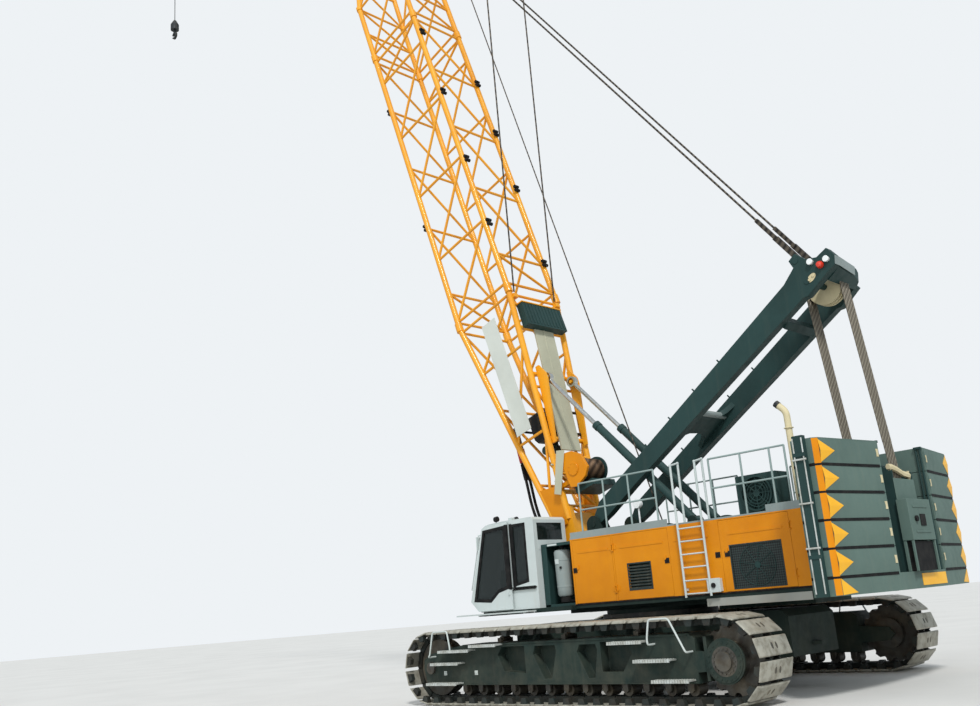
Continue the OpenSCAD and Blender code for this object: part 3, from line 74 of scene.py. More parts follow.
class Body(Enum):
    """The moving bodies that a fitting can ride on."""

    UNDERCARRIAGE = "undercarriage"
    SUPERSTRUCTURE = "superstructure"
    BOOM = "boom"
    A_FRAME = "a_frame"
    CAB_DOOR = "cab_door"
    FRONT_DOOR = "house_door_1"
    LOUVRE_DOOR = "house_door_2"
    RADIATOR_DOOR = "house_door_3"
    RIGHT_FRONT_DOOR = "house_door_4"
    RIGHT_LOUVRE_DOOR = "house_door_5"
    UPPER_FALLS = "reeving_upper"
    LOWER_FALLS = "reeving_lower"


class Slot(Enum):
    """The material slots of the record."""

    BALLAST = "ballast"
    BLACK_STEEL = "black_steel"
    CREAM_PAINT = "cream_paint"
    DARK_PAINT = "dark_paint"
    FRAME_PAINT = "frame_paint"
    GLASS = "glass"
    ORANGE_PAINT = "orange_paint"
    ROD_STEEL = "rod_steel"
    ROPE = "rope"
    SEAT_CLOTH = "seat_cloth"
    SHOE_STEEL = "shoe_steel"
    WHITE_PAINT = "white_paint"


def linear(hex_colour: str, alpha: float = 1.0) -> tuple[float, float, float, float]:
    """Turns six hex digits of sRGB into linear red, green and blue, with alpha, for a socket."""
    channels = (int(hex_colour[i:i + 2], 16) / 255 for i in (0, 2, 4))
    return (*(c / 12.92 if c <= 0.04045 else ((c + 0.055) / 1.055) ** 2.4 for c in channels), alpha)


def add_node(tree: Tree, kind: str, settings: Optional[Mapping[str, object]] = None,
             links: Optional[Links] = None) -> bpy.types.Node:
    """Adds one node with its settings and its inputs.

    Args:
        tree: The node tree it goes into.
        kind: The node's type name.
        settings: Properties of the node.
        links: Input names with a value, or with the socket that feeds them.

    Returns:
        The new node.
    """
    node = tree.nodes.new(kind)
    for key, value in (settings or {}).items():
        setattr(node, key, value)
    for key, value in (links or {}).items():
        socket = node.inputs[int(key)] if key.isdigit() else node.inputs[key]
        if isinstance(value, Socket):
            tree.links.new(value, socket)
        else:
            socket.default_value = value
    return node


@dataclass(frozen=True)
class Finish:
    """A surface finish that can be built into a material, and the record's slot for it."""

    name: str
    slot: Slot

    def surface(self, tree: Tree) -> bpy.types.Node:
        """Builds the shader of this finish in a material's node tree and returns its node."""
        raise NotImplementedError(f"{self.name}: a finish builds its own shader in {tree.name}")

    def material(self) -> bpy.types.Material:
        """Makes the finish's material, once.

        Returns:
            The material.
        """
        made = bpy.data.materials.get(self.name)
        if made:
            return made
        made = bpy.data.materials.new(self.name)
        made.use_nodes = True
        tree = made.node_tree
        tree.nodes.clear()
        shader = self.surface(tree)
        add_node(tree, "ShaderNodeOutputMaterial", links={"Surface": shader.outputs[0]})
        return made


def patches(tree: Tree, size: float, stretch: Point = (1.0, 1.0, 1.0), detail: float = 4.0,
            low: float = 0.4, high: float = 0.7) -> Socket:
    """Makes a soft mask of patches of a real size.

    Args:
        tree: The material's node tree.
        size: The size of one patch in metres.
        stretch: How much longer the patches are along each row axis.
        detail: How broken their edges are.
        low: Noise level at which a patch starts.
        high: Noise level at which it is full.

    Returns:
        A value socket from 0 to 1.
    """
    place = add_node(tree, "ShaderNodeTexCoord")
    scaled = add_node(tree, "ShaderNodeMapping", links={"Vector": place.outputs["Object"],
                                                        "Scale": tuple(1 / s for s in stretch)})
    noise = add_node(tree, "ShaderNodeTexNoise", links={"Vector": scaled.outputs[0], "Scale": 1 / size,
                                                        "Detail": detail, "Roughness": 0.6})
    span = add_node(tree, "ShaderNodeMapRange", links={"Value": noise.outputs["Fac"], "From Min": low,
                                                       "From Max": high})
    return span.outputs[0]


def height_fade(tree: Tree, top: float, bottom: float) -> Socket:
    """Makes a mask that is 0 above a height and grows to 1 at a lower one.

    Args:
        tree: The material's node tree.
        top: Height in metres where it starts.
        bottom: Height in metres where it is full.

    Returns:
        A value socket from 0 to 1.
    """
    place = add_node(tree, "ShaderNodeTexCoord")
    parts = add_node(tree, "ShaderNodeSeparateXYZ", links={"Vector": place.outputs["Object"]})
    fade = add_node(tree, "ShaderNodeMapRange", links={"Value": parts.outputs["Z"], "From Min": top,
                                                       "From Max": bottom})
    return fade.outputs[0]


def upward(tree: Tree) -> Socket:
    """Makes a mask that is 1 on surfaces that face up, where dust settles.

    Args:
        tree: The material's node tree.

    Returns:
        A value socket from 0 to 1.
    """
    facing = add_node(tree, "ShaderNodeNewGeometry")
    parts = add_node(tree, "ShaderNodeSeparateXYZ", links={"Vector": facing.outputs["Normal"]})
    return add_node(tree, "ShaderNodeMapRange", links={"Value": parts.outputs["Z"], "From Min": 0.35,
                                                       "From Max": 0.95}).outputs[0]


def mixed(tree: Tree, mask: Union[float, Socket],
          first: Union[tuple, Socket], second: Union[tuple, Socket]) -> Socket:
    """Mixes two colours by a mask, of which 0 shows the first and 1 the second."""
    node = add_node(tree, "ShaderNodeMix", {"data_type": "RGBA"}, {"0": mask, "6": first, "7": second})
    return node.outputs[2]


def product(tree: Tree, first: Socket, second: Union[float, Socket]) -> Socket:
    """Multiplies two masks and returns the socket."""
    return add_node(tree, "ShaderNodeMath", {"operation": "MULTIPLY"}, {"0": first, "1": second}).outputs[0]


@dataclass(frozen=True)
class PaintedSteel(Finish):
    """Two-layer sprayed paint on welded steel plate: an even gloss, slightly wavy, with site dust."""

    paint: str
    shade: str
    roughness: float = 0.5
    coat: float = 0.0
    dust_amount: float = 0.05
    dust: str = "B5A78C"
    dust_top: float = 2.0
    dust_bottom: float = 0.0
    wave_mm: float = 0.5
    specular: float = 0.3

    def surface(self, tree: Tree) -> bpy.types.Node:
        """Builds the paint with faded patches, streaks, settled dust and weld distortion.

        Args:
            tree: The material's node tree.

        Returns:
            The shader's node.
        """
        faded = mixed(tree, patches(tree, 1.1), linear(self.paint), linear(self.shade))
        streaks = product(tree, patches(tree, 0.09, (1.0, 1.0, 9.0), 3.0, 0.5, 0.8), 0.35)
        streaked = mixed(tree, product(tree, streaks, self.dust_amount * 2), faded, linear(self.dust))
        low = product(tree, height_fade(tree, self.dust_top, self.dust_bottom),
                      patches(tree, 0.35, detail=6.0, low=0.3))
        soiled = mixed(tree, product(tree, low, min(1.0, self.dust_amount * 2.4)), streaked,
                       linear(self.dust))
        settled = product(tree, upward(tree), patches(tree, 0.25, detail=5.0, low=0.25))
        top = mixed(tree, product(tree, settled, self.dust_amount * 1.4), soiled, linear(self.dust))
        rough = add_node(tree, "ShaderNodeMapRange", links={
            "Value": patches(tree, 0.18, detail=6.0), "To Min": self.roughness,
            "To Max": self.roughness + 0.16})
        wave = add_node(tree, "ShaderNodeBump", links={
            "Height": patches(tree, 0.45, detail=1.0, low=0.0, high=1.0), "Strength": 0.35,
            "Distance": self.wave_mm / 1000 * 8})
        return add_node(tree, "ShaderNodeBsdfPrincipled", links={
            "Base Color": top, "Roughness": rough.outputs[0], "Normal": wave.outputs[0],
            "Coat Weight": self.coat,
            "Coat Roughness": 0.12, "IOR": 1.5, "Specular IOR Level": self.specular})


@dataclass(frozen=True)
class WornCasting(Finish):
    """Cast manganese steel that runs in sand: bright where it rubs, brown dust where it doesn't."""

    metal: str
    rust: str
    dust: str
    roughness: float = 0.55
    grain: float = 0.012

    def surface(self, tree: Tree) -> bpy.types.Node:
        """Builds rubbed metal, brown patches, packed dust and a sand-cast grain.

        Args:
            tree: The material's node tree.

        Returns:
            The shader's node.
        """
        base = mixed(tree, patches(tree, 0.16, detail=7.0, low=0.42, high=0.62), linear(self.metal),
                     linear(self.rust))
        settled = product(tree, upward(tree), patches(tree, 0.2, detail=5.0, low=0.2, high=0.6))
        dusty = mixed(tree, product(tree, settled, 0.55), base, linear(self.dust))
        packed = product(tree, patches(tree, 0.5, detail=6.0, low=0.45, high=0.75), 0.5)
        top = mixed(tree, packed, dusty, linear(self.dust))
        # The sand grain of the casting is drawn at 12 mm, coarser than the real 1 mm, so that it shows.
        grain = add_node(tree, "ShaderNodeBump", links={
            "Height": patches(tree, self.grain, detail=3.0, low=0.2, high=0.8), "Strength": 0.4,
            "Distance": 0.004})
        return add_node(tree, "ShaderNodeBsdfPrincipled", links={
            "Base Color": top, "Metallic": 0.35, "Roughness": self.roughness, "Normal": grain.outputs[0]})


@dataclass(frozen=True)
class WireRope(Finish):
    """Greased steel wire rope: strands laid round a core, dark in the grooves."""

    strand: str = "5E564A"
    groove: str = "26231F"
    lay: float = 0.05

    def surface(self, tree: Tree) -> bpy.types.Node:
        """Builds slanted strands, several times coarser than the real ones, so that they show.

        Args:
            tree: The material's node tree.

        Returns:
            The shader's node.
        """
        place = add_node(tree, "ShaderNodeTexCoord")
        strands = add_node(tree, "ShaderNodeTexWave", {"wave_type": "BANDS", "bands_direction": "DIAGONAL"}, {
            "Vector": place.outputs["Object"], "Scale": 1 / self.lay / 6.28, "Distortion": 0.6,
            "Detail": 1.0})
        colour = mixed(tree, strands.outputs["Fac"], linear(self.groove), linear(self.strand))
        bump = add_node(tree, "ShaderNodeBump", links={"Height": strands.outputs["Fac"], "Strength": 0.7,
                                                       "Distance": 0.004})
        return add_node(tree, "ShaderNodeBsdfPrincipled", links={
            "Base Color": colour, "Metallic": 0.6, "Roughness": 0.5, "Normal": bump.outputs[0]})


@dataclass(frozen=True)
class PolishedRod(Finish):
    """Hard chromed piston rod, ground smooth, with a thin oil film."""

    metal: str = "C9C9C4"

    def surface(self, tree: Tree) -> bpy.types.Node:
        """Builds a bright metal with faint smears.

        Args:
            tree: The material's node tree.

        Returns:
            The shader's node.
        """
        rough = add_node(tree, "ShaderNodeMapRange", links={
            "Value": patches(tree, 0.1), "To Min": 0.14, "To Max": 0.3})
        return add_node(tree, "ShaderNodeBsdfPrincipled", links={
            "Base Color": linear(self.metal), "Metallic": 1.0, "Roughness": rough.outputs[0]})


@dataclass(frozen=True)
class TintedGlass(Finish):
    """Tempered cab glass, lightly tinted, with a faint patchy film."""

    tint: str = "1B2422"
    clarity: float = 0.72

    def surface(self, tree: Tree) -> bpy.types.Node:
        """Builds a dark pane that reflects and lets the seat show through.

        Args:
            tree: The material's node tree.

        Returns:
            The shader's node.
        """
        film = add_node(tree, "ShaderNodeMapRange", links={
            "Value": patches(tree, 0.3), "To Min": 0.03, "To Max": 0.09})
        pane = add_node(tree, "ShaderNodeBsdfPrincipled", links={
            "Base Color": linear(self.tint), "Roughness": film.outputs[0], "IOR": 1.5, "Alpha": self.clarity})
        return pane


@dataclass(frozen=True)
class MouldedPlastic(Finish):
    """Injection-moulded black polyamide or rubber: matt with a fine pebbled grain."""

    colour: str = "17181A"
    roughness: float = 0.6
    grain: float = 0.006

    def surface(self, tree: Tree) -> bpy.types.Node:
        """Builds the pebbled grain at 6 mm, coarser than the real 1 mm, so that it shows.

        Args:
            tree: The material's node tree.

        Returns:
            The shader's node.
        """
        mottled = mixed(tree, product(tree, patches(tree, 0.15), 0.35), linear(self.colour), linear("3A3834"))
        bump = add_node(tree, "ShaderNodeBump", links={
            "Height": patches(tree, self.grain, detail=1.0), "Strength": 0.25, "Distance": 0.001})
        return add_node(tree, "ShaderNodeBsdfPrincipled", links={
            "Base Color": mottled, "Roughness": self.roughness, "Normal": bump.outputs[0],
            "Specular IOR Level": 0.2})


@dataclass(frozen=True)
class WovenCloth(Finish):
    """Flat-woven polyester seat cloth, with a soft sheen on its threads."""

    thread: str = "C9741A"
    gap: str = "5A3208"
    pitch: float = 0.006

    def surface(self, tree: Tree) -> bpy.types.Node:
        """Builds a plain weave with threads at 6 mm, coarser than the real 1 mm, so that it shows.

        Args:
            tree: The material's node tree.

        Returns:
            The shader's node.
        """
        place = add_node(tree, "ShaderNodeTexCoord")
        weave = add_node(tree, "ShaderNodeTexChecker",
                         links={"Vector": place.outputs["Object"], "Scale": 1 / self.pitch})
        colour = mixed(tree, product(tree, weave.outputs["Fac"], 0.4), linear(self.thread), linear(self.gap))
        bump = add_node(tree, "ShaderNodeBump",
                        links={"Height": weave.outputs["Fac"], "Strength": 0.5, "Distance": 0.001})
        return add_node(tree, "ShaderNodeBsdfPrincipled", links={
            "Base Color": colour, "Roughness": 0.85, "Sheen Weight": 0.3, "Normal": bump.outputs[0]})


@dataclass(frozen=True)
class ExpandedMesh(Finish):
    """Expanded steel mesh in front of the radiator: dull black strands with dark diamonds between them."""

    strand: str = "2E3A38"
    hollow: str = "0C1110"
    pitch: float = 0.03

    def surface(self, tree: Tree) -> bpy.types.Node:
        """Builds the diamonds at 30 mm, coarser than the real 12 mm, so that they show.

        Args:
            tree: The material's node tree.

        Returns:
            The shader's node.
        """
        place = add_node(tree, "ShaderNodeTexCoord")
        turned = add_node(tree, "ShaderNodeMapping", links={
            "Vector": place.outputs["Object"], "Rotation": (0.0, math.radians(45), 0.0),
            "Scale": (1.0, 0.0, 1.0)})
        cells = add_node(tree, "ShaderNodeTexChecker",
                         links={"Vector": turned.outputs[0], "Scale": 1 / self.pitch})
        colour = mixed(tree, cells.outputs["Fac"], linear(self.hollow), linear(self.strand))
        bump = add_node(tree, "ShaderNodeBump",
                        links={"Height": cells.outputs["Fac"], "Strength": 0.4, "Distance": 0.003})
        return add_node(tree, "ShaderNodeBsdfPrincipled", links={
            "Base Color": colour, "Metallic": 0.2, "Roughness": 0.6, "Normal": bump.outputs[0]})


@dataclass(frozen=True)
class LampLens(Finish):
    """Ribbed polycarbonate lens over a reflector."""

    colour: str = "E9ECEA"

    def surface(self, tree: Tree) -> bpy.types.Node:
        """Builds a glossy lens with moulded ribs 40 mm apart, coarser than real ones, so that they show.

        Args:
            tree: The material's node tree.

        Returns:
            The shader's node.
        """
        place = add_node(tree, "ShaderNodeTexCoord")
        ribs = add_node(tree, "ShaderNodeTexWave", {"bands_direction": "Z"},
                        {"Vector": place.outputs["Object"], "Scale": 8.0})
        bump = add_node(tree, "ShaderNodeBump",
                        links={"Height": ribs.outputs["Fac"], "Strength": 0.4, "Distance": 0.002})
        return add_node(tree, "ShaderNodeBsdfPrincipled", links={
            "Base Color": linear(self.colour), "Roughness": 0.15, "Coat Weight": 0.5,
            "Normal": bump.outputs[0]})


# Sprayed two-pack enamel, the machine's own warm yellow: clean and glossy on the house.
HOUSE_PAINT = PaintedSteel("house_enamel", Slot.ORANGE_PAINT, "DA8904", "CC7A02", roughness=0.4, coat=0.1,
                           dust_amount=0.03, specular=0.2)
# The same enamel on the boom, painted paler: a lit copy of the house enamel, with the light on the boom
# painted into its colour.
BOOM_PAINT_LIT = PaintedSteel("boom_enamel_lit", Slot.ORANGE_PAINT, "E9A11C", "DF9210", roughness=0.4, coat=0.25)
# Grey-green machine enamel on the chassis, dull with dust.
CHASSIS_PAINT = PaintedSteel("chassis_enamel", Slot.FRAME_PAINT, "1C2E2A", "172623", roughness=0.55,
                             dust_amount=0.04, specular=0.2)
# The same enamel on the upper works, cleaner.
UPPER_GREY = PaintedSteel("upperworks_enamel", Slot.DARK_PAINT, "27403E", "223836", dust_amount=0.03,
                          specular=0.2)
# Grey-green enamel over cast ballast: flat, with a slightly rough skin.
BALLAST_PAINT = PaintedSteel("ballast_enamel", Slot.BALLAST, "5A6F67", "52665F", roughness=0.62, wave_mm=2.0)
# Pale grey enamel of the cab, its rails and the ladder.
PALE_PAINT = PaintedSteel("pale_enamel", Slot.WHITE_PAINT, "C4CDCB", "B4BEBB", roughness=0.35, coat=0.3,
                          dust_amount=0.15)
# Mid-grey enamel on the edge and deck of the house.
ROOF_GREY = PaintedSteel("roof_enamel", Slot.WHITE_PAINT, "8C9795", "808B89", coat=0.05, dust_amount=0.15)
# Grey-cream sheet of the boom's walkway, bleached.
WALK_SHEET = PaintedSteel("walkway_sheet", Slot.WHITE_PAINT, "B4B39C", "A6A58F", roughness=0.55,
                          dust_amount=0.12)
# Cream primer on sheaves and on the hot exhaust, gone matt.
CREAM_PAINT = PaintedSteel("cream_enamel", Slot.CREAM_PAINT, "D3C7A2", "B9AC86", roughness=0.6,
                           dust_amount=0.25)
# Signal yellow of the warning triangles, a bright even coat.
SIGNAL_YELLOW = PaintedSteel("signal_yellow", Slot.ORANGE_PAINT, "F2B41E", "EAA914", roughness=0.4, coat=0.2)
# White enamel sheet of the boards.
BOARD_WHITE = PaintedSteel("board_enamel", Slot.WHITE_PAINT, "C9CDC4", "BEC2B9", roughness=0.45, coat=0.1,
                           dust_amount=0.1)
# Galvanised sheet of the treads: bright where boots rub it.
GALVANISED = WornCasting("galvanised_sheet", Slot.WHITE_PAINT, "C7CCC8", "A6A8A1", "B3AE9F", roughness=0.42)
# Pale sill sheet under the house, splashed with mud.
SILL_GREY = PaintedSteel("sill_enamel", Slot.WHITE_PAINT, "A3A59E", "8E9089", roughness=0.55, dust_amount=0.4)
# Dark green-grey enamel on the louvres and on the radiator's frame.
GRILLE_GREEN = PaintedSteel("grille_enamel", Slot.DARK_PAINT, "2A3634", "222C2B", coat=0.05, dust_amount=0.1)
# Rust-brown wire of the full winch drum.
BROWN_ROPE = WireRope("weathered_rope", Slot.ROPE, strand="7A614A", groove="3A2C20", lay=0.06)
# Blackened steel of hooks, slewing ring and pins.
BLACK_STEEL = PaintedSteel("blackened_steel", Slot.BLACK_STEEL, "22272A", "1A1E20", dust_amount=0.2)
# Cast shoes: bright where they rub in sand, dusty elsewhere.
SHOE_STEEL = WornCasting("manganese_casting", Slot.SHOE_STEEL, "A9A79B", "7F7B6E", "B8B3A2")
# Chain links and guide lugs, painted dark.
CHAIN_STEEL = WornCasting("chain_casting", Slot.SHOE_STEEL, "27302E", "2B2925", "4A4538")
# Dark cast rollers and sprockets with dried mud.
ROLLER_STEEL = WornCasting("roller_casting", Slot.SHOE_STEEL, "4C4B46", "3B352D", "7F745F")
ROPE = WireRope("greased_rope", Slot.ROPE)
# Heat-shrunk red sleeves that mark the hoses.
RED_SLEEVE = MouldedPlastic("red_sleeve", Slot.BLACK_STEEL, "B03A2E", 0.5)
MESH = ExpandedMesh("expanded_mesh", Slot.DARK_PAINT)
ROD = PolishedRod("chromed_rod", Slot.ROD_STEEL)
GLASS = TintedGlass("tinted_glass", Slot.GLASS)
PLASTIC = MouldedPlastic("black_polyamide", Slot.BLACK_STEEL)
RUBBER = MouldedPlastic("black_rubber", Slot.BLACK_STEEL, "101112", 0.75)
CLOTH = WovenCloth("seat_cloth", Slot.SEAT_CLOTH)
# Galvanised tube of the deck rails, duller than the ladder.
RAIL_GREY = PaintedSteel("rail_zinc", Slot.WHITE_PAINT, "8FA09D", "82938F")
# Bright, dry rope of the boom hoist falls.
FALL_ROPE = WireRope("falls_rope", Slot.ROPE, strand="857E70", groove="635C50", lay=0.03)
LENS = LampLens("lamp_lens", Slot.WHITE_PAINT)
RED_LENS = LampLens("red_lamp_lens", Slot.BLACK_STEEL, "D8361E")

NODE_FINISHES: Mapping[Finish, Sequence[str]] = {
    HOUSE_PAINT: ("house_left", "house_right", "house_door_1", "house_door_2", "house_door_3", "house_door_4",
                  "house_door_5"),
    BOOM_PAINT_LIT: ("boom_foot", "boom_insert", "boom_head", "jib", "jib_strut", "boom_walkway"),
    CHASSIS_PAINT: ("carbody", "carbody_ballast", "side_frame_left", "side_frame_right", "slewing_frame",
                    "cab_platform"),
    UPPER_GREY: ("engine_block", "oil_cooler", "winches", "rear_tower", "tie_posts", "boom_winch",
                 "cab_cabinet", "a_frame", "backstop_barrels"),
    BALLAST_PAINT: ("counterweight_base", "counterweight_left", "counterweight_right"),
    ROOF_GREY: ("house_roof",),
    RAIL_GREY: ("deck_rails",),
    PALE_PAINT: ("ladder", "cab", "cab_door", "access_steps", "cab_fittings"),
    CREAM_PAINT: ("exhaust", "boom_sheaves", "a_frame_sheaves"),
    BLACK_STEEL: ("slewing_ring", "hook"),
    SHOE_STEEL: ("track_left", "track_right"),
    ROLLER_STEEL: ("drive_sprockets", "idlers", "track_rollers"),
    ROPE: ("jib_stays", "boom_pendants", "reeving_upper", "reeving_lower", "hoist_rope"),
    ROD: ("backstop_rods",),
    GLASS: ("cab_glass", "cab_door_glass"),
    CLOTH: ("cab_seat",),
}


def turns(count: int) -> list[float]:
    """Returns the angles of one full turn in equal steps."""
    return [k * math.tau / count for k in range(count)]


def added(name: str, data: bpy.types.ID) -> bpy.types.Object:
    """Adds an object to the scene.

    Args:
        name: Its name.
        data: Its mesh, camera or lamp.

    Returns:
        The new object.
    """
    made = bpy.data.objects.new(name, data)
    bpy.context.scene.collection.objects.link(made)
    return made


def widened(outline: Outline, by: float) -> list[tuple[float, float]]:
    """Moves the edges of a flat outline outward, or inward where the distance is negative.

    Args:
        outline: Its corners in order.
        by: The distance in metres.

    Returns:
        The corners of the new outline.
    """
    area = sum(a[0] * b[1] - b[0] * a[1] for a, b in zip(outline, [*outline[1:], outline[0]]))
    sign = 1 if area > 0 else -1
    moved = []
    for i, corner in enumerate(outline):
        before = Vector(corner) - Vector(outline[i - 1])
        after = Vector(outline[(i + 1) % len(outline)]) - Vector(corner)
        first = sign * Vector((before.y, -before.x)).normalized()
        second = sign * Vector((after.y, -after.x)).normalized()
        middle = (first + second).normalized()
        moved.append(tuple(Vector(corner) + middle * (by / max(0.4, middle.dot(first)))))
    return moved


def rounded(path: Sequence[Point], radius: float, steps: int = 4) -> list[Point]:
    """Rounds the bends of a path.

    Args:
        path: Its points.
        radius: How far before and after a bend the curve starts.
        steps: How many pieces each bend has.

    Returns:
        The points of the rounded path.
    """
    points = [Vector(p) for p in path]
    made = [points[0]]
    for before, bend, after in zip(points, points[1:], points[2:]):
        reach = min(radius, (bend - before).length * 0.45, (after - bend).length * 0.45)
        start = bend + (before - bend).normalized() * reach
        end = bend + (after - bend).normalized() * reach
        for k in range(steps + 1):
            t = k / steps
            made.append(start * (1 - t) ** 2 + bend * 2 * t * (1 - t) + end * t ** 2)
    made.append(points[-1])
    return [tuple(p) for p in made]


class Shape:
    """Collects plates, blocks, tubes and discs of one piece in one mesh."""

    def __init__(self) -> None:
        """Starts an empty mesh."""
        self.mesh = bmesh.new()

    def prism(self, outline: Sequence[Point], depth: Point) -> None:
        """Adds a flat outline swept along a vector.

        Args:
            outline: The corners of one face.
            depth: The vector from that face to the opposite one.
        """
        shift = Vector(depth)
        near = [self.mesh.verts.new(p) for p in outline]
        far = [self.mesh.verts.new(Vector(p) + shift) for p in outline]
        faces = [self.mesh.faces.new(near), self.mesh.faces.new(list(reversed(far)))]
        count = len(near)
        for i in range(count):
            faces.append(self.mesh.faces.new([near[(i + 1) % count], near[i], far[i], far[(i + 1) % count]]))
        bmesh.ops.recalc_face_normals(self.mesh, faces=faces)

    def loft(self, rings: Sequence[Sequence[Point]]) -> None:
        """Adds a closed solid through several rings.

        Args:
            rings: Rings with equal numbers of corners, in order.
        """
        loops = [[self.mesh.verts.new(p) for p in ring] for ring in rings]
        faces = [self.mesh.faces.new(loops[0]), self.mesh.faces.new(list(reversed(loops[-1])))]
        count = len(loops[0])
        for low, high in zip(loops, loops[1:]):
            for i in range(count):
                faces.append(self.mesh.faces.new([low[(i + 1) % count], low[i], high[i],
                                                  high[(i + 1) % count]]))
        bmesh.ops.recalc_face_normals(self.mesh, faces=faces)

    def without(self, cutter: "Shape") -> None:
        """Cuts another shape out of this one.

        Args:
            cutter: The shape that is taken away.
        """
        solids = []
        for shape in (self, cutter):
            data = bpy.data.meshes.new("cut")
            shape.mesh.to_mesh(data)
            shape.mesh.free()
            solids.append(added("cut", data))
        change = solids[0].modifiers.new("cut", "BOOLEAN")
        change.operation, change.solver, change.object = "DIFFERENCE", "EXACT", solids[1]
        graph = bpy.context.evaluated_depsgraph_get()
        self.mesh = bmesh.new()
        self.mesh.from_mesh(solids[0].evaluated_get(graph).to_mesh())
        for solid in solids:
            bpy.data.objects.remove(solid)

    def block(self, low: Point, high: Point) -> None:
        """Adds a block between two opposite corners."""
        (a, b, c), (d, e, f) = low, high
        self.prism([(a, b, c), (d, b, c), (d, e, c), (a, e, c)], (0, 0, f - c))

    def tube(self, path: Sequence[Point], radius: float, sides: int = 10) -> None:
        """Adds a round bar along a path, with its ends closed.

        Args:
            path: The points of its centre line.
            radius: Its radius.
            sides: How many sides it has.
        """
        points = [Vector(p) for p in path]
        rings = []
        side = (points[1] - points[0]).orthogonal().normalized()
        for i, p in enumerate(points):
            ahead = (points[min(i + 1, len(points) - 1)] - points[max(i - 1, 0)]).normalized()
            side = (side - ahead * side.dot(ahead)).normalized()
            across = ahead.cross(side)
            rings.append([self.mesh.verts.new(p + radius * (cos(t) * side + sin(t) * across))
                          for t in turns(sides)])
        for low, high in zip(rings, rings[1:]):
            for k in range(sides):
                self.mesh.faces.new([low[k], low[(k + 1) % sides], high[(k + 1) % sides], high[k]])
        self.mesh.faces.new(list(reversed(rings[0])))
        self.mesh.faces.new(rings[-1])

    def turned(self, centre: Point, profile: Outline, sides: int = 20, upright: bool = False) -> None:
        """Adds a solid turned about an axis along Y.

        Args:
            centre: A point on its axis.
            profile: Distance along the axis and radius of each ring.
            sides: How many sides it has.
            upright: Whether the axis runs along Z instead.
        """
        x, y, z = centre
        if upright:
            self.loft([[(x + r * cos(t), y + r * sin(t), z + d) for t in turns(sides)] for d, r in profile])
        else:
            self.loft([[(x + r * cos(t), y + d, z + r * sin(t)) for t in turns(sides)] for d, r in profile])

    def disc(self, centre: Point, axis: Point, radius: float, depth: float, sides: int = 24) -> None:
        """Adds a disc that stands on a face with its centre there; with 6 sides it is a bolt head."""
        start = Vector(centre)
        self.tube([tuple(start), tuple(start + Vector(axis).normalized() * depth)], radius, sides)

    def around(self, rings: Sequence[Sequence[Point]]) -> None:
        """Adds a closed band of faces through several rings, of which the last meets the first.

        Args:
            rings: Rings with equal numbers of corners, in order.
        """
        loops = [[self.mesh.verts.new(p) for p in ring] for ring in rings]
        count = len(loops[0])
        faces = []
        for low, high in zip(loops, [*loops[1:], loops[0]]):
            for i in range(count):
                faces.append(self.mesh.faces.new([low[i], low[(i + 1) % count], high[(i + 1) % count],
                                                  high[i]]))
        bmesh.ops.recalc_face_normals(self.mesh, faces=faces)

    def band(self, outline: Outline, inner: float, outer: float, near: float, far: float) -> None:
        """Adds a closed band between two offsets of an XZ outline and two values of Y, such as a gasket."""
        self.around([[(x, y, z) for x, z in widened(outline, offset)]
                     for offset, y in ((inner, near), (inner, far), (outer, far), (outer, near))])

    def ring(self, centre: Point, radius: float, wire: float, sides: int = 36) -> None:
        """Adds a closed wire ring about an axis along Y.

        Args:
            centre: Its centre.
            radius: Radius of the wire's centre line.
            wire: Radius of the wire.
            sides: How many bends it has.
        """
        along = Vector((0, 1, 0))
        first = along.orthogonal().normalized()
        second = along.cross(first)
        loops = []
        for turn in turns(sides):
            out = cos(turn) * first + sin(turn) * second
            middle = Vector(centre) + out * radius
            loops.append([middle + wire * (cos(a) * out + sin(a) * along) for a in turns(6)])
        self.around(loops)

    def mirrored(self) -> None:
        """Adds a mirrored copy on the other side of the machine."""
        copied = bmesh.ops.duplicate(self.mesh,
                                     geom=self.mesh.verts[:] + self.mesh.edges[:] + self.mesh.faces[:])
        verts = [g for g in copied["geom"] if isinstance(g, bmesh.types.BMVert)]
        faces = [g for g in copied["geom"] if isinstance(g, bmesh.types.BMFace)]
        bmesh.ops.transform(self.mesh, matrix=Matrix.Scale(-1, 4, (0, 1, 0)), verts=verts)
        bmesh.ops.reverse_faces(self.mesh, faces=faces)

    def piece(self, name: str, finish: Finish, body: Body = Body.SUPERSTRUCTURE, bevel: float = 0.0,
              slot: Optional[Slot] = None) -> bpy.types.Object:
        """Makes the piece, dresses it and lets it ride on its body.

        Args:
            name: The piece's name.
            finish: Its finish.
            body: The body that carries it.
            bevel: Width of the rounded edges in metres.
            slot: The record's material slot, where it isn't its finish's own; not used.

        Returns:
            The new object.
        """
        data = bpy.data.meshes.new(name)
        bmesh.ops.remove_doubles(self.mesh, verts=self.mesh.verts, dist=1e-6)
        self.mesh.to_mesh(data)
        self.mesh.free()
        piece = added(name, data)
        data.materials.append(finish.material())
        data.shade_smooth()
        data.set_sharp_from_angle(angle=math.radians(35))
        if bevel:
            rounded = piece.modifiers.new("edges", "BEVEL")
            rounded.width, rounded.segments, rounded.limit_method = bevel, 2, "ANGLE"
        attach(piece, body.value)
        LOG.info("%s: %d faces on %s", name, len(data.polygons), body.value)
        return piece


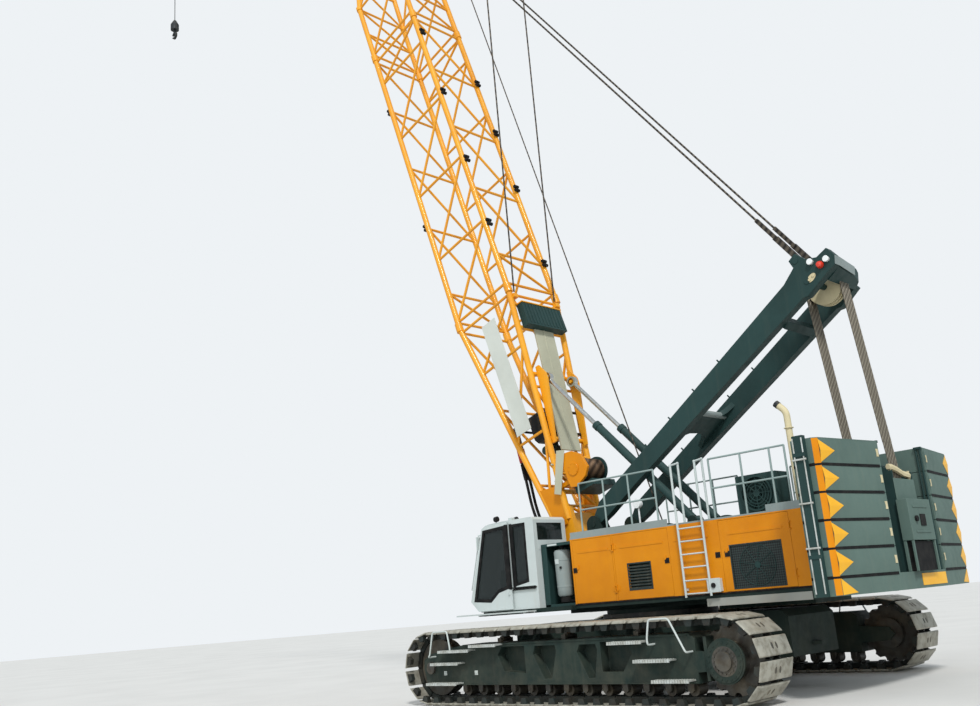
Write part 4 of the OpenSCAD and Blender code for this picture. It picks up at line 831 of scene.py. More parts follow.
@dataclass
class Undercarriage:
    """Tracks, side frames with their pockets, steps and bent handles."""

    track_length: float = 8.62
    track_height: float = 1.466
    gauge: float = 5.922
    shoe_width: float = 1.0
    shoe_thickness: float = 0.06
    shoes: int = 52
    frame_half: float = 0.35
    # half the length of a shoe, and the edge that slopes down at its sides
    shoe_reach: float = 0.156
    shoe_edge: float = 0.05
    # length, width and depth of a bolt pocket's oval, a black oval of painted shade, and how far the two
    # stand from the middle
    pocket_reach: float = 0.055
    pocket_half: float = 0.03
    pocket_place: float = 0.065
    # corners of a link's side bar and of a guide lug: along the chain and outward from it
    link_bar: tuple = ((-0.185, -0.055), (-0.165, -0.105), (0.165, -0.105), (0.185, -0.055), (0.165, 0.002),
                       (-0.165, 0.002))
    link_place: float = 0.13
    link_half: float = 0.022
    guide_lug: tuple = ((-0.09, 0.008), (-0.055, -0.105), (0.055, -0.105), (0.09, 0.008))
    lug_place: float = 0.43
    lug_half: float = 0.045
    # x and z of the corners of a side frame's box, of the cover over its idler and of its yokes
    box: tuple = ((-3.02, 0.39), (2.83, 0.39), (2.977, 0.5), (2.977, 1.0), (2.6, 1.17), (-2.9, 1.19),
                  (-3.02, 1.1))
    idler_cover: tuple = ((2.64, 1.16), (2.82, 0.395), (3.742, 0.413), (3.837, 0.721), (3.815, 0.9),
                          (3.6, 1.01), (3.1, 1.1))
    rear_yoke: tuple = ((-3.01, 0.563), (-3.637, 0.603), (-3.737, 0.733), (-3.637, 0.863), (-3.01, 0.903))
    front_yoke: tuple = ((2.97, 0.563), (3.637, 0.603), (3.737, 0.733), (3.637, 0.863), (2.97, 0.903))
    # x and z of the corners of the plate before the sprocket, and of the rails along the box's edges
    sprocket_plate: tuple = ((-3.25, 0.43), (-3.19, 0.43), (-3.19, 1.13), (-3.25, 1.13))
    edge_rails: tuple = (
        ((-2.88, 1.15), (2.56, 1.135), (2.56, 1.165), (-2.88, 1.182)),
        ((-2.98, 0.392), (2.8, 0.392), (2.8, 0.42), (-2.98, 0.42)))
    pocket_depth: float = 0.22
    yoke_thickness: float = 0.088
    # places of the square nuts, their half width and their height above the ground
    nut_places: tuple[float, float] = (3.158, 2.238)
    nut_half: float = 0.042
    nut_height: float = 0.626
    # the hub's cover: its radius, the radius of its raised part and of its circle of bolts
    hub_radius: float = 0.36
    hub_step: float = 0.33
    hub_bolts: float = 0.29
    # the steps' tooth spacing, and how far they reach past the shoes
    tooth_pitch: float = 0.052
    step_reach: float = 0.07
    tooth_thickness: float = 0.021
    # x and z of the corners of each pocket, seen from the left
    pockets: tuple = (
        ((1.6, 0.95), (1.475, 1.1), (0.87, 1.1), (0.87, 0.6), (1.45, 0.64)),
        ((0.65, 0.94), (0.59, 1.09), (0.08, 1.09), (0.06, 0.98), (0.21, 0.5), (0.4, 0.49)),
        ((-0.45, 0.95), (-0.52, 1.08), (-0.9, 1.08), (-0.93, 0.98), (-0.83, 0.5), (-0.68, 0.49)),
        ((-1.01, 1.11), (-1.01, 0.6), (-1.48, 0.6), (-1.7, 0.89), (-1.62, 1.11)))
    # x from, x to and height of each step
    steps: tuple = (
        (1.44, 2.21, 1.165), (2.23, 3.15, 1.08), (2.56, 3.4, 0.84), (2.64, 3.56, 0.45),
        (-2.08, -1.33, 1.11), (-2.62, -1.86, 0.8), (-2.96, -2.2, 0.47))
    # x and z of the bends of each handle
    handles: tuple = (
        ((3.44, 0.96), (3.4, 1.006), (3.277, 1.454), (2.836, 1.462), (2.773, 1.141), (2.773, 1.06)),
        ((-2.21, 1.04), (-2.21, 1.143), (-2.28, 1.45), (-2.68, 1.452), (-2.92, 0.977), (-2.96, 0.9)))

    @property
    def face(self) -> float:
        """Returns Y of the outer face of the left side frame."""
        return self.gauge / 2 + self.frame_half

    def chain_places(self) -> list[tuple[float, float, float]]:
        """Works out where the links of the chain lie.

        Returns:
            X, z and outward angle of the middle of each link.
        """
        wheel = self.track_height / 2
        reach = (self.track_length - self.track_height) / 2
        chain = wheel - self.shoe_thickness
        run, arc = 2 * reach, math.pi * chain
        places = []
        for i in range(self.shoes):
            way = (i + 0.5) * 2 * (run + arc) / self.shoes
            half, way = divmod(way, run + arc)
            side = 1 if half == 0 else -1
            if way < run:
                places.append((side * (reach - way), wheel + side * chain, side * math.pi / 2))
            else:
                angle = side * math.pi / 2 + (way - run) / chain
                places.append((-side * reach + chain * cos(angle), wheel + chain * sin(angle), angle))
        return places

    @staticmethod
    def on_link(place: tuple[float, float, float], along: float, y: float, out: float) -> Point:
        """Turns a place on one link into the row's frame.

        Args:
            place: X, z and outward angle of the link.
            along: Distance along the chain.
            y: Distance to the left of the machine's middle.
            out: Distance outward from the chain.

        Returns:
            The point in the row's frame.
        """
        x, z, angle = place
        return (x + out * cos(angle) - along * sin(angle), y,
                z + out * sin(angle) + along * cos(angle))

    def track(self, centre: float, side: str) -> None:
        """Builds the crowned shoes with their bolt pockets as black ovals of painted shade, the links and the
        guide lugs of one track.

        Args:
            centre: Y of the track's middle.
            side: Its name.
        """
        wheel, half = self.track_height / 2, self.shoe_width / 2
        chain = wheel - self.shoe_thickness
        end_top = math.sqrt(wheel ** 2 - self.shoe_reach ** 2) - chain
        crown = ((-half, 0.45), (-half + self.shoe_edge, 1.0), (half - self.shoe_edge, 1.0), (half, 0.45))
        shoes, marks, links = Shape(), Shape(), Shape()
        for place in self.chain_places():
            _, height, angle = place
            on_straight = abs(cos(angle)) < 1e-6
            top = self.shoe_thickness if on_straight else end_top
            profile = ((-0.15, 0.004), (-self.shoe_reach, top * 0.55), (-0.138, top), (0.138, top),
                       (self.shoe_reach, top * 0.55), (0.15, 0.004))
            shoes.loft([[self.on_link(place, a, centre + y, h * k) for a, h in profile] for y, k in crown])
            # each bolt pocket is a black oval laid on the shoe, painted shade where the hollow is; the
            # pockets of the lowest shoes would press into the ground
            if height > 0.2:
                for y in (-self.pocket_place, self.pocket_place):
                    oval = [self.on_link(place, self.pocket_reach * cos(t),
                                         centre + (y + self.pocket_half * sin(t)), top - 0.004)
                            for t in turns(12)]
                    marks.prism(oval, (0.006 * cos(angle), 0, 0.006 * sin(angle)))
            for outline, distance, half_width in ((self.link_bar, self.link_place, self.link_half),
                                                  (self.guide_lug, self.lug_place, self.lug_half)):
                for y in (-distance, distance):
                    links.loft([[self.on_link(place, a, centre + (y + e), h) for a, h in outline]
                                for e in (-half_width, half_width)])
        outer = shoes.piece(f"shoes_{side}", SHOE_STEEL, Body.UNDERCARRIAGE, 0.004)
        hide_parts(f"track_{side}")
        # the black ovals are painted shade in the bolt pockets
        marks.piece(f"shoe_pocket_shade_{side}", BLACK_STEEL, Body.UNDERCARRIAGE)
        links.piece(f"chain_{side}", CHAIN_STEEL, Body.UNDERCARRIAGE)

    def side_frame(self, sign: int, side: str) -> None:
        """Builds one side frame: a box with deep pockets, its yokes and the plate over the idler.

        Args:
            sign: 1 on the left, -1 on the right.
            side: Its name.
        """
        inner, outer = self.gauge / 2 - self.frame_half, self.face

        def plate(shape: Shape, outline: Outline, near: float, far: float) -> None:
            """Adds a plate between two distances from the middle of the machine."""
            shape.prism([(x, sign * near, z) for x, z in outline], (0, sign * (far - near), 0))

        frame, holes = Shape(), Shape()
        plate(frame, self.box, inner, outer)
        for pocket in self.pockets:
            plate(holes, pocket, outer - self.pocket_depth, outer + 0.01)
        frame.without(holes)
        plate(frame, self.idler_cover, outer - 0.091, outer - 0.001)
        for near in (inner + 0.001, outer - 0.09):
            plate(frame, self.rear_yoke, near, near + self.yoke_thickness)
        plate(frame, self.front_yoke, inner + 0.001, inner + 0.001 + self.yoke_thickness)
        plate(frame, self.sprocket_plate, outer - 0.42, outer + 0.012)
        for rail in self.edge_rails:
            plate(frame, rail, outer - 0.01, outer + 0.014)
        made = frame.piece(f"side_box_{side}", CHASSIS_PAINT, Body.UNDERCARRIAGE, 0.006)
        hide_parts(f"side_frame_{side}")

    def frame_fittings(self) -> None:
        """Builds the pale square nuts and the hub covers with their bolts."""
        nuts = Shape()
        for x in self.nut_places:
            nuts.block((x - self.nut_half, self.face - 0.003, self.nut_height - self.nut_half),
                       (x + self.nut_half, self.face + 0.012, self.nut_height + self.nut_half))
            nuts.disc((x, self.face + 0.011, self.nut_height), (0, 1, 0), 0.022, 0.014, 6)
        nuts.mirrored()
        nuts.piece("frame_nuts", PALE_PAINT, Body.UNDERCARRIAGE, 0.003)
        hubs = Shape()
        wheel, reach = self.track_height / 2, (self.track_length - self.track_height) / 2
        hubs.disc((-reach, self.face + 0.0005, wheel), (0, 1, 0), self.hub_radius, 0.04, 48)
        hubs.disc((-reach, self.face + 0.04, wheel), (0, 1, 0), self.hub_step, 0.016, 48)
        for turn in turns(20):
            hubs.disc((-reach + self.hub_bolts * cos(turn), self.face + 0.055,
                       wheel + self.hub_bolts * sin(turn)), (0, 1, 0), 0.016, 0.014, 6)
        hubs.mirrored()
        hubs.piece("hub_covers", CHASSIS_PAINT, Body.UNDERCARRIAGE, 0.003, slot=Slot.DARK_PAINT)

    def step(self, treads: Shape, low: float, high: float, top: float) -> None:
        """Adds one step: a perforated plate with a toothed edge.

        Args:
            treads: The shape that collects the steps.
            low: X of its rear end.
            high: X of its front end.
            top: Its height above the ground.
        """
        edge = self.gauge / 2 + self.shoe_width / 2 + self.step_reach - self.tooth_thickness
        treads.block((low, self.face + 0.0003, top - 0.03), (high, edge + 0.001, top - 0.004))
        count = int((high - low) / self.tooth_pitch)
        pitch = (high - low) / count
        tooth = ((0.0, -0.05), (0.9, -0.05), (0.75, 0.004), (0.15, 0.004))
        for i in range(count):
            start = low + i * pitch
            treads.prism([(start + pitch * share, edge, top + rise) for share, rise in tooth],
                         (0, self.tooth_thickness, 0))
            for y in (0.045, 0.095, 0.145):
                treads.disc((start + pitch / 2, self.face + y, top - 0.005), (0, 0, 1), 0.014, 0.008, 8)

    def access(self) -> None:
        """Builds the notched steps and the bent handles."""
        treads, rails = Shape(), Shape()
        for low, high, top in self.steps:
            self.step(treads, low, high, top)
        y = self.gauge / 2 + self.shoe_width / 2 + self.step_reach - self.tooth_thickness
        for bends in self.handles:
            path = [(x, y, z) for x, z in bends]
            (x0, _, z0), (x1, _, z1) = path[0], path[-1]
            path = [(x0, self.face + 0.001, z0), *path, (x1, self.face + 0.001, z1)]
            rails.tube(rounded(path, 0.055), 0.017, 12)
        for shape in (treads, rails):
            shape.mirrored()
        made = treads.piece("track_steps", GALVANISED, Body.UNDERCARRIAGE)
        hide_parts("access_steps")
        rails.piece("track_handles", PALE_PAINT, Body.UNDERCARRIAGE)

    def build(self) -> None:
        """Builds the undercarriage's fittings."""
        for sign, side in ((1, "left"), (-1, "right")):
            self.track(sign * self.gauge / 2, side)
        for sign, side in ((1, "left"), (-1, "right")):
            self.side_frame(sign, side)
        self.frame_fittings()
        self.access()


@dataclass
class MachineryHouse:
    """Latches, grilles, guards and the sill of the machinery house."""

    front: float = 0.926
    rear: float = -4.425
    half_width: float = 1.607
    deck: float = 1.77
    roof: float = 3.128
    wall: float = 0.04
    louvre_edge: tuple[float, float] = (-0.2, -1.541)
    radiator_edge: tuple[float, float] = (-4.104, -2.685)
    # height of a latch's middle, half its side, and the radius of its pull's ring
    latch_height: float = 2.462
    latch_half: float = 0.05
    latch_ring: float = 0.03
    # number and spacing of the louvre's slats, and its lower and upper edge
    slats: int = 8
    slat_pitch: float = 0.058
    louvre_low: float = 1.985
    louvre_top: float = 2.47
    radiator_top: float = 2.61
    guard_rings: tuple = (0.06, 0.11, 0.16, 0.21, 0.26, 0.31)
    guard_reach: float = 0.355
    # x and y of the lamp on the deck, of the exhaust and of the tank
    lamp_place: tuple[float, float] = (-0.49, 1.0)
    exhaust_place: tuple[float, float] = (-4.16, 1.18)
    tank_place: tuple[float, float] = (1.375, 1.37)
    # x and z of the middle of the socket box, half its length and half its height
    socket_place: tuple[float, float] = (-2.49, 1.93)
    socket_half: tuple[float, float] = (0.13, 0.115)

    def latches(self) -> None:
        """Builds the square flush latches with their round pulls."""
        places = ((Body.FRONT_DOOR, "front", 0.845, 1), (Body.LOUVRE_DOOR, "louvre", -1.47, 1),
                  (Body.SUPERSTRUCTURE, "fixed", -2.604, 1), (Body.RADIATOR_DOOR, "radiator", -2.804, 1),
                  (Body.RIGHT_FRONT_DOOR, "right_front", 0.845, -1),
                  (Body.RIGHT_LOUVRE_DOOR, "right_louvre", -1.47, -1))
        for body, name, x, sign in places:
            latch = Shape()
            y, z, half = sign * (self.half_width - 0.001), self.latch_height, self.latch_half
            latch.prism([(x - half, y, z - half), (x + half, y, z - half), (x + half, y, z + half),
                         (x - half, y, z + half)], (0, sign * 0.012, 0))
            latch.ring((x, y + sign * 0.013, z), self.latch_ring, 0.006, 20)
            latch.disc((x, y + sign * 0.011, z), (0, sign, 0), 0.016, 0.01, 16)
            latch.piece(f"latch_{name}", PLASTIC, body)

    def louvres(self) -> None:
        """Builds the dark slats and their frame over the louvre door's opening, on both sides."""
        width = self.louvre_edge[0] - self.louvre_edge[1]
        low, high = self.louvre_edge[1] + 0.36 * width, self.louvre_edge[0] - 0.24 * width
        inner, outer = self.half_width - self.wall, self.half_width
        for sign, body, name in ((1, Body.LOUVRE_DOOR, "left"), (-1, Body.RIGHT_LOUVRE_DOOR, "right")):
            slats = Shape()
            for i in range(self.slats):
                z = self.louvre_low + i * self.slat_pitch
                outline = [(low, inner + 0.001, z + 0.025), (low, outer - 0.002, z + 0.004),
                           (low, outer - 0.002, z + 0.023), (low, inner + 0.001, z + 0.044)]
                slats.prism([(x, sign * y, zz) for x, y, zz in outline], (high - low, 0, 0))
            slats.band([(low, self.louvre_low), (high, self.louvre_low), (high, self.louvre_top),
                        (low, self.louvre_top)],
                       -0.004, 0.022, sign * (outer - 0.002), sign * (outer + 0.005))
            slats.piece(f"louvre_{name}", GRILLE_GREEN, body)

    def radiator_guard(self) -> None:
        """Builds the mesh, the round wire guard and the frame on the radiator door."""
        width = self.radiator_edge[1] - self.radiator_edge[0]
        low, high = self.radiator_edge[0] + 0.14 * width, self.radiator_edge[1] - 0.12 * width
        bottom, top = self.deck + 0.06, self.radiator_top
        inner = self.half_width - self.wall
        screen = Shape()
        screen.block((low, inner + 0.011, bottom), (high, inner + 0.023, top))
        screen.piece("radiator_screen", MESH, Body.RADIATOR_DOOR)
        frame = Shape()
        frame.band([(low, bottom), (high, bottom), (high, top), (low, top)], -0.018, 0.004, inner + 0.01,
                   self.half_width + 0.004)
        frame.piece("radiator_frame", GRILLE_GREEN, Body.RADIATOR_DOOR)
        guard = Shape()
        x, z, y = (low + high) / 2, (bottom + top) / 2, inner + 0.03
        for radius in self.guard_rings:
            guard.ring((x, y, z), radius, 0.0035)
        guard.ring((x, y, z), self.guard_reach, 0.007)
        for turn in turns(8):
            spoke = [(x + r * cos(turn + 0.2), y + 0.004, z + r * sin(turn + 0.2))
                     for r in (0.05, self.guard_reach)]
            guard.tube(spoke, 0.005, 6)
        guard.disc((x, y - 0.004, z), (0, 1, 0), 0.055, 0.012, 20)
        guard.piece("radiator_guard", UPPER_GREY, Body.RADIATOR_DOOR, slot=Slot.FRAME_PAINT)

    def sills(self) -> None:
        """Builds the black rubber strips under the doors and the pale sill sheets behind them."""
        strip = Shape()
        strip.block((self.rear + 0.01, self.half_width - 0.02, self.deck - 0.012),
                    (self.front - 0.01, self.half_width + 0.01, self.deck + 0.022))
        strip.mirrored()
        strip.piece("sill_strip", RUBBER, bevel=0.003)
        sheet = Shape()
        sheet.block((-4.34, self.half_width - 0.001, 1.562), (-2.242, self.half_width + 0.004, 1.7))
        sheet.mirrored()
        sheet.piece("sill_sheet", SILL_GREY, bevel=0.001)

    def deck_lamp(self) -> None:
        """Builds the round lamp on its post above the deck."""
        lamp = Shape()
        x, y = self.lamp_place
        lamp.tube([(x, y, self.roof - 0.002), (x, y, 3.6)], 0.018, 10)
        lamp.turned((x, 0, 3.68), ((0.93, 0.05), (0.95, 0.08), (1.06, 0.098), (1.075, 0.092)))
        lamp.piece("deck_lamp", LENS)

    def socket_box(self) -> None:
        """Builds the small pale socket box at the ladder's foot."""
        box = Shape()
        (x, z), (a, b), face = self.socket_place, self.socket_half, self.half_width
        box.block((x - a, face - 0.002, z - b), (x + a, face + 0.095, z + b))
        box.block((x - a - 0.01, face + 0.09, z - b - 0.01), (x + a + 0.01, face + 0.102, z + b + 0.01))
        for side, end in ((-1, -1), (1, -1), (-1, 1), (1, 1)):
            box.disc((x + side * (a - 0.02), face + 0.101, z + end * (b - 0.015)), (0, 1, 0), 0.009, 0.006, 6)
        box.piece("socket_box", PALE_PAINT, bevel=0.004)
        cap = Shape()
        cap.disc((x, face + 0.101, z), (0, 1, 0), 0.045, 0.022, 24)
        cap.ring((x, face + 0.12, z), 0.036, 0.006, 20)
        cap.piece("socket_cap", PLASTIC)

    def exhaust(self) -> None:
        """Builds the bent exhaust pipe with its collar and its black mouth."""
        pipe, mouth = Shape(), Shape()
        x, y = self.exhaust_place
        pipe.tube(rounded([(x, y, self.roof + 0.002), (x, y, 4.87), (-4.01, y, 5.02)], 0.1, 8), 0.06, 24)
        pipe.disc((x, y, 4.56), (0, 0, 1), 0.086, 0.014, 32)
        pipe.disc((x, y, self.roof + 0.001), (0, 0, 1), 0.13, 0.06, 32)
        made = pipe.piece("exhaust_pipe", CREAM_PAINT)
        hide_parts("exhaust")
        mouth.tube([(-4.03, y, 5.0), (-3.975, y, 5.055)], 0.066, 24)
        mouth.piece("exhaust_mouth", BLACK_STEEL, bevel=0.002)

    def cabinet(self) -> None:
        """Builds the open cabinet between the house and the cab, with its pale upright tank."""
        frame = Shape()
        floor, top = self.deck + 0.001, 3.078
        frame.block((1.74, 0.9, floor), (1.782, 1.58, top - 0.06))
        frame.block((1.64, 1.55, floor), (1.74, 1.58, top - 0.06))
        frame.block((1.6, 0.9, floor), (1.741, 0.93, top - 0.06))
        frame.block((0.946, 0.9, floor), (1.6, 0.93, top))
        frame.block((0.946, 0.93, floor), (0.972, 1.3, top - 0.1))
        frame.block((0.946, 0.9, top - 0.06), (1.782, 1.58, top))
        frame.block((0.946, 0.9, floor), (1.782, 1.58, floor + 0.05))
        for shelf in (2.08, 2.68):
            frame.block((0.972, 1.06, shelf), (1.741, 1.23, shelf + 0.03))
        made = frame.piece("cabinet_frame", UPPER_GREY, bevel=0.004)
        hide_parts("cab_cabinet")
        tank = Shape()
        x, y = self.tank_place
        # height and radius of each ring of the tank, with its two beads
        sizes = ((1.96, 0.09), (1.975, 0.14), (2.01, 0.165), (2.15, 0.168), (2.154, 0.173), (2.18, 0.173),
                 (2.184, 0.169),
                 (2.7, 0.178), (2.704, 0.183), (2.73, 0.183), (2.734, 0.179), (2.88, 0.18), (2.925, 0.16),
                 (2.945, 0.1))
        tank.turned((x, y, 0), sizes, 32, upright=True)
        tank.piece("filter_tank", ROOF_GREY)
        cap = Shape()
        cap.disc((x, y, 1.85), (0, 0, 1), 0.12, 0.112, 28)
        cap.disc((x, y, 2.944), (0, 0, 1), 0.05, 0.075, 20)
        cap.disc((1.3, 1.54, 2.56), (0, 1, 0), 0.026, 0.022, 16)
        cap.tube(rounded([(x, y, 1.88), (1.18, 1.3, 1.86), (1.06, 1.15, 1.85), (1.04, 0.931, 1.85)], 0.05),
                 0.028, 12)
        cap.piece("tank_fittings", RUBBER)
        plates = Shape()
        plates.block((1.33, 1.579, 3.028), (1.6, 1.583, 3.066))
        plates.block((1.34, 1.53, 2.64), (1.44, 1.553, 2.74))
        plates.piece("cabinet_plates", PALE_PAINT, bevel=0.002)

    def build(self) -> None:
        """Builds the house's fittings."""
        self.latches()
        self.louvres()
        self.radiator_guard()
        self.sills()
        self.deck_lamp()
        self.socket_box()
        self.cabinet()
        self.exhaust()


@dataclass
class Cab:
    """Gaskets, wiper, rails, lamps and seat of the cab."""

    rear: float = 1.79
    front: float = 3.815
    right: float = 0.72
    left: float = 1.76
    floor: float = 1.7703
    roof: float = 3.69
    door_shift: float = 0.042
    door_thickness: float = 0.036
    # length of the door, how far the screen leans back over its height, and the seat's place
    door_length: float = 1.29
    screen_lean: float = 0.485
    seat_place: float = 0.7
    seat_lean: float = -11.0
    # sizes of the seat's cushion and back
    cushion: Point = (0.5, 0.46, 0.112)
    back: Point = (0.105, 0.44, 0.62)

    def door_outline(self) -> list[tuple[float, float]]:
        """Works out the outline of the door's window.

        Returns:
            Its corners as x and z.
        """
        start = self.front - self.door_length
        return [(start + 0.07, self.floor + 0.47), (start + 0.38, self.floor + 0.4),
                (start + 0.64, self.floor + 0.21),
                (self.front - 0.13, self.floor + 0.25), (self.front - 0.545, self.roof - 0.16),
                (start + 0.07, self.roof - 0.12)]

    def side_outline(self) -> list[tuple[float, float]]:
        """Works out the outline of the fixed side window.

        Returns:
            Its corners as x and z.
        """
        start = self.front - self.door_length
        return [(self.rear + 0.26, self.floor + 0.57), (start - 0.06, self.floor + 0.5),
                (start - 0.06, self.roof - 0.11), (self.rear + 0.26, self.roof - 0.11)]

    def screen_x(self, z: float) -> float:
        """Returns where the windscreen's outer face stands at a height."""
        foot, brow = self.floor + 0.245, self.roof - 0.11
        return self.front - self.screen_lean * (z - foot) / (brow - foot)

    def gaskets(self) -> None:
        """Builds the black rubber gaskets of the windows and the covers of the pillars."""
        face = self.left + self.door_shift + self.door_thickness
        door = Shape()
        door.band(self.door_outline(), -0.055, 0.016, face - 0.017, face + 0.004)
        door.piece("door_gasket", RUBBER, Body.CAB_DOOR)
        side = Shape()
        side.band(self.side_outline(), -0.045, 0.012, self.left - 0.02, self.left + 0.004)
        side.piece("side_gasket", RUBBER)
        self.pillar_covers(face)
        screen = Shape()
        low, high = self.floor + 0.29, self.roof - 0.16
        inner = [(self.right + 0.09, low), (self.left - 0.09, low), (self.left - 0.09, high),
                 (self.right + 0.09, high)]
        section = ((-0.045, -0.012), (-0.045, 0.004), (0.03, 0.004), (0.03, -0.012))
        screen.around([[(self.screen_x(z) + stand, y, z) for y, z in widened(inner, offset)]
                       for offset, stand in section])
        screen.piece("screen_gasket", RUBBER)

    def pillar_covers(self, face: float) -> None:
        """Builds the black covers on the pillars between the side windows, their strips and the rear panel.

        Args:
            face: Y of the door's outer face.
        """
        moving, fixed, panel = Shape(), Shape(), Shape()
        moving.block((2.5235, self.left + 0.0415, self.floor + 0.43), (2.6, face + 0.0045, self.roof - 0.09))
        moving.piece("door_pillar_cover", RUBBER, Body.CAB_DOOR, 0.001)
        fixed.block((2.44, self.left - 0.001, self.floor + 0.47),
                    (2.522, self.left + 0.0045, self.roof - 0.085))
        fixed.block((1.83, self.left - 0.001, self.floor + 0.42),
                    (2.522, self.left + 0.006, self.floor + 0.46))
        for low in (0.406, 0.455):
            fixed.block((1.83, self.left + 0.033, self.floor + low),
                        (2.571, self.left + 0.037, self.floor + low + 0.019))
        fixed.piece("side_pillar_cover", RUBBER, bevel=0.001)
        panel.block((self.rear - 0.006, self.right + 0.1, self.roof - 0.71),
                    (self.rear + 0.001, self.left - 0.1, self.roof - 0.5))
        panel.piece("rear_panel", PALE_PAINT, bevel=0.002)

    def wiper(self) -> None:
        """Builds the windscreen wiper: motor housing, arm and blade."""
        wiper = Shape()
        y = (self.right + self.left) / 2
        low, high = self.floor + 0.27, self.floor + 1.15
        wiper.disc((self.screen_x(low) - 0.005, y, low), (1, 0, 0.25), 0.03, 0.045, 16)
        wiper.tube([(self.screen_x(low) + 0.035, y, low + 0.01),
                    (self.screen_x(high - 0.3) + 0.04, y - 0.06, high - 0.3),
                    (self.screen_x(high) + 0.018, y - 0.09, high)], 0.008, 8)
        wiper.tube([(self.screen_x(high - 0.32) + 0.014, y - 0.09, high - 0.32),
                    (self.screen_x(high + 0.3) + 0.014, y - 0.09, high + 0.3)], 0.009, 8)
        wiper.piece("wiper", PLASTIC)

    def front_rails(self) -> None:
        """Builds the two pale grab rails in front of the left pillar."""
        rails = Shape()
        y = self.left - 0.05
        for step in (0.0, 0.07):
            path = [(self.screen_x(self.roof - 0.24) + 0.002, y, self.roof - 0.24),
                    (self.screen_x(self.roof - 0.26) + 0.09 + step, y, self.roof - 0.28),
                    (self.screen_x(self.floor + 0.5) + 0.09 + step, y, self.floor + 0.5),
                    (self.screen_x(self.floor + 0.46) + 0.002, y, self.floor + 0.46)]
            rails.tube(path, 0.013, 10)
        rails.piece("cab_front_rails", PALE_PAINT)

    def lamps(self) -> None:
        """Builds the two work lamps on the roof's brow."""
        housings, lenses = Shape(), Shape()
        for y in (self.right + 0.2, self.left - 0.2):
            x, z = self.front - 0.72, self.roof - 0.01
            housings.tube([(x, y, z - 0.03), (x, y, z + 0.05)], 0.012, 8)
            housings.disc((x - 0.05, y, z + 0.105), (1, 0, -0.1), 0.062, 0.085, 20)
            lenses.disc((x + 0.034, y, z + 0.0965), (1, 0, -0.1), 0.056, 0.01, 20)
        housings.piece("roof_lamp_housings", PLASTIC, bevel=0.003)
        lenses.piece("roof_lamp_lenses", LENS)

    def seat(self) -> None:
        """Builds the operator's seat: padded cushion and back, with its rigid base and consoles."""
        x, y = self.rear + self.seat_place, (self.right + self.left) / 2
        base = Shape()
        base.prism([(x - 0.19, y - 0.15, self.floor + 0.047), (x + 0.19, y - 0.15, self.floor + 0.047),
                    (x + 0.14, y - 0.15, self.floor + 0.475), (x - 0.14, y - 0.15, self.floor + 0.475)],
                    (0, 0.3, 0))
        for k in range(5):
            z = self.floor + 0.1 + k * 0.07
            base.block((x - 0.195, y - 0.158, z), (x + 0.195, y + 0.158, z + 0.025))
        for side in (-0.34, 0.26):
            base.block((x - 0.17, y + side + 0.005, self.floor + 0.485),
                       (x + 0.25, y + side + 0.075, self.floor + 0.635))
            base.tube([(x + 0.16, y + side + 0.04, self.floor + 0.63),
                       (x + 0.175, y + side + 0.04, self.floor + 0.72)], 0.012, 10)
            base.disc((x + 0.175, y + side + 0.04, self.floor + 0.715), (0.15, 0, 1), 0.026, 0.07, 14)
        base.block((x - 0.09, y - 0.335, self.floor + 0.365), (x + 0.05, y + 0.335, self.floor + 0.478))
        base.block((x + 0.705, y - 0.175, self.floor + 0.047), (x + 0.775, y + 0.175, self.floor + 0.6))
        base.prism([(x + 0.69, y - 0.17, self.floor + 0.6), (x + 0.79, y - 0.17, self.floor + 0.62),
                    (x + 0.72, y - 0.17, self.floor + 0.88), (x + 0.66, y - 0.17, self.floor + 0.86)],
                    (0, 0.34, 0))
        seat_base = base.piece("seat_base", PLASTIC, bevel=0.006)
        lean = math.radians(self.seat_lean)
        cushion = self.pad("seat_cushion", (x + 0.01, y, self.floor + 0.542), self.cushion, 0.0)
        back = self.pad("seat_back", (x - 0.25, y, self.floor + 0.925), self.back, lean)
        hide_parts("cab_seat")

    def pad(self, name: str, centre: Point, size: Point, lean: float) -> bpy.types.Object:
        """Builds a crowned pad whose sides pull in between its corners, with a sewn channel.

        Args:
            name: The piece's name.
            centre: Its middle.
            size: Its length, width and height.
            lean: Its turn about the Y axis in radians.

        Returns:
            The pad.
        """
        mesh = bmesh.new()
        steps = 12
        bmesh.ops.create_cube(mesh, size=1.0)
        bmesh.ops.subdivide_edges(mesh, edges=mesh.edges[:], cuts=steps, use_grid_fill=True)
        thin = min(range(3), key=lambda k: size[k])
        wide = [k for k in range(3) if k != thin]
        for vert in mesh.verts:
            share = [vert.co[k] * 2 for k in range(3)]
            crown = (1 - share[wide[0]] ** 4) * (1 - share[wide[1]] ** 4)
            channel = 0.1 * math.exp(-((abs(share[wide[1]]) - 0.55) / 0.05) ** 2)
            vert.co[thin] *= 0.62 + 0.38 * crown - channel
            for k, other in ((wide[0], wide[1]), (wide[1], wide[0])):
                pull = 0.035 * (1 - share[other] ** 2) + 0.05 * (share[thin] ** 2)
                vert.co[k] *= 1 - pull
        turn = Matrix.Rotation(lean, 4, "Y")
        for vert in mesh.verts:
            vert.co = turn @ Vector([vert.co[k] * size[k] for k in range(3)]) + Vector(centre)
        data = bpy.data.meshes.new(name)
        mesh.to_mesh(data)
        mesh.free()
        piece = added(name, data)
        data.materials.append(CLOTH.material())
        data.shade_smooth()
        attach(piece, Body.SUPERSTRUCTURE.value)
        return piece

    def build(self) -> None:
        """Builds the cab's fittings."""
        self.gaskets()
        self.wiper()
        self.front_rails()
        self.lamps()
        self.seat()


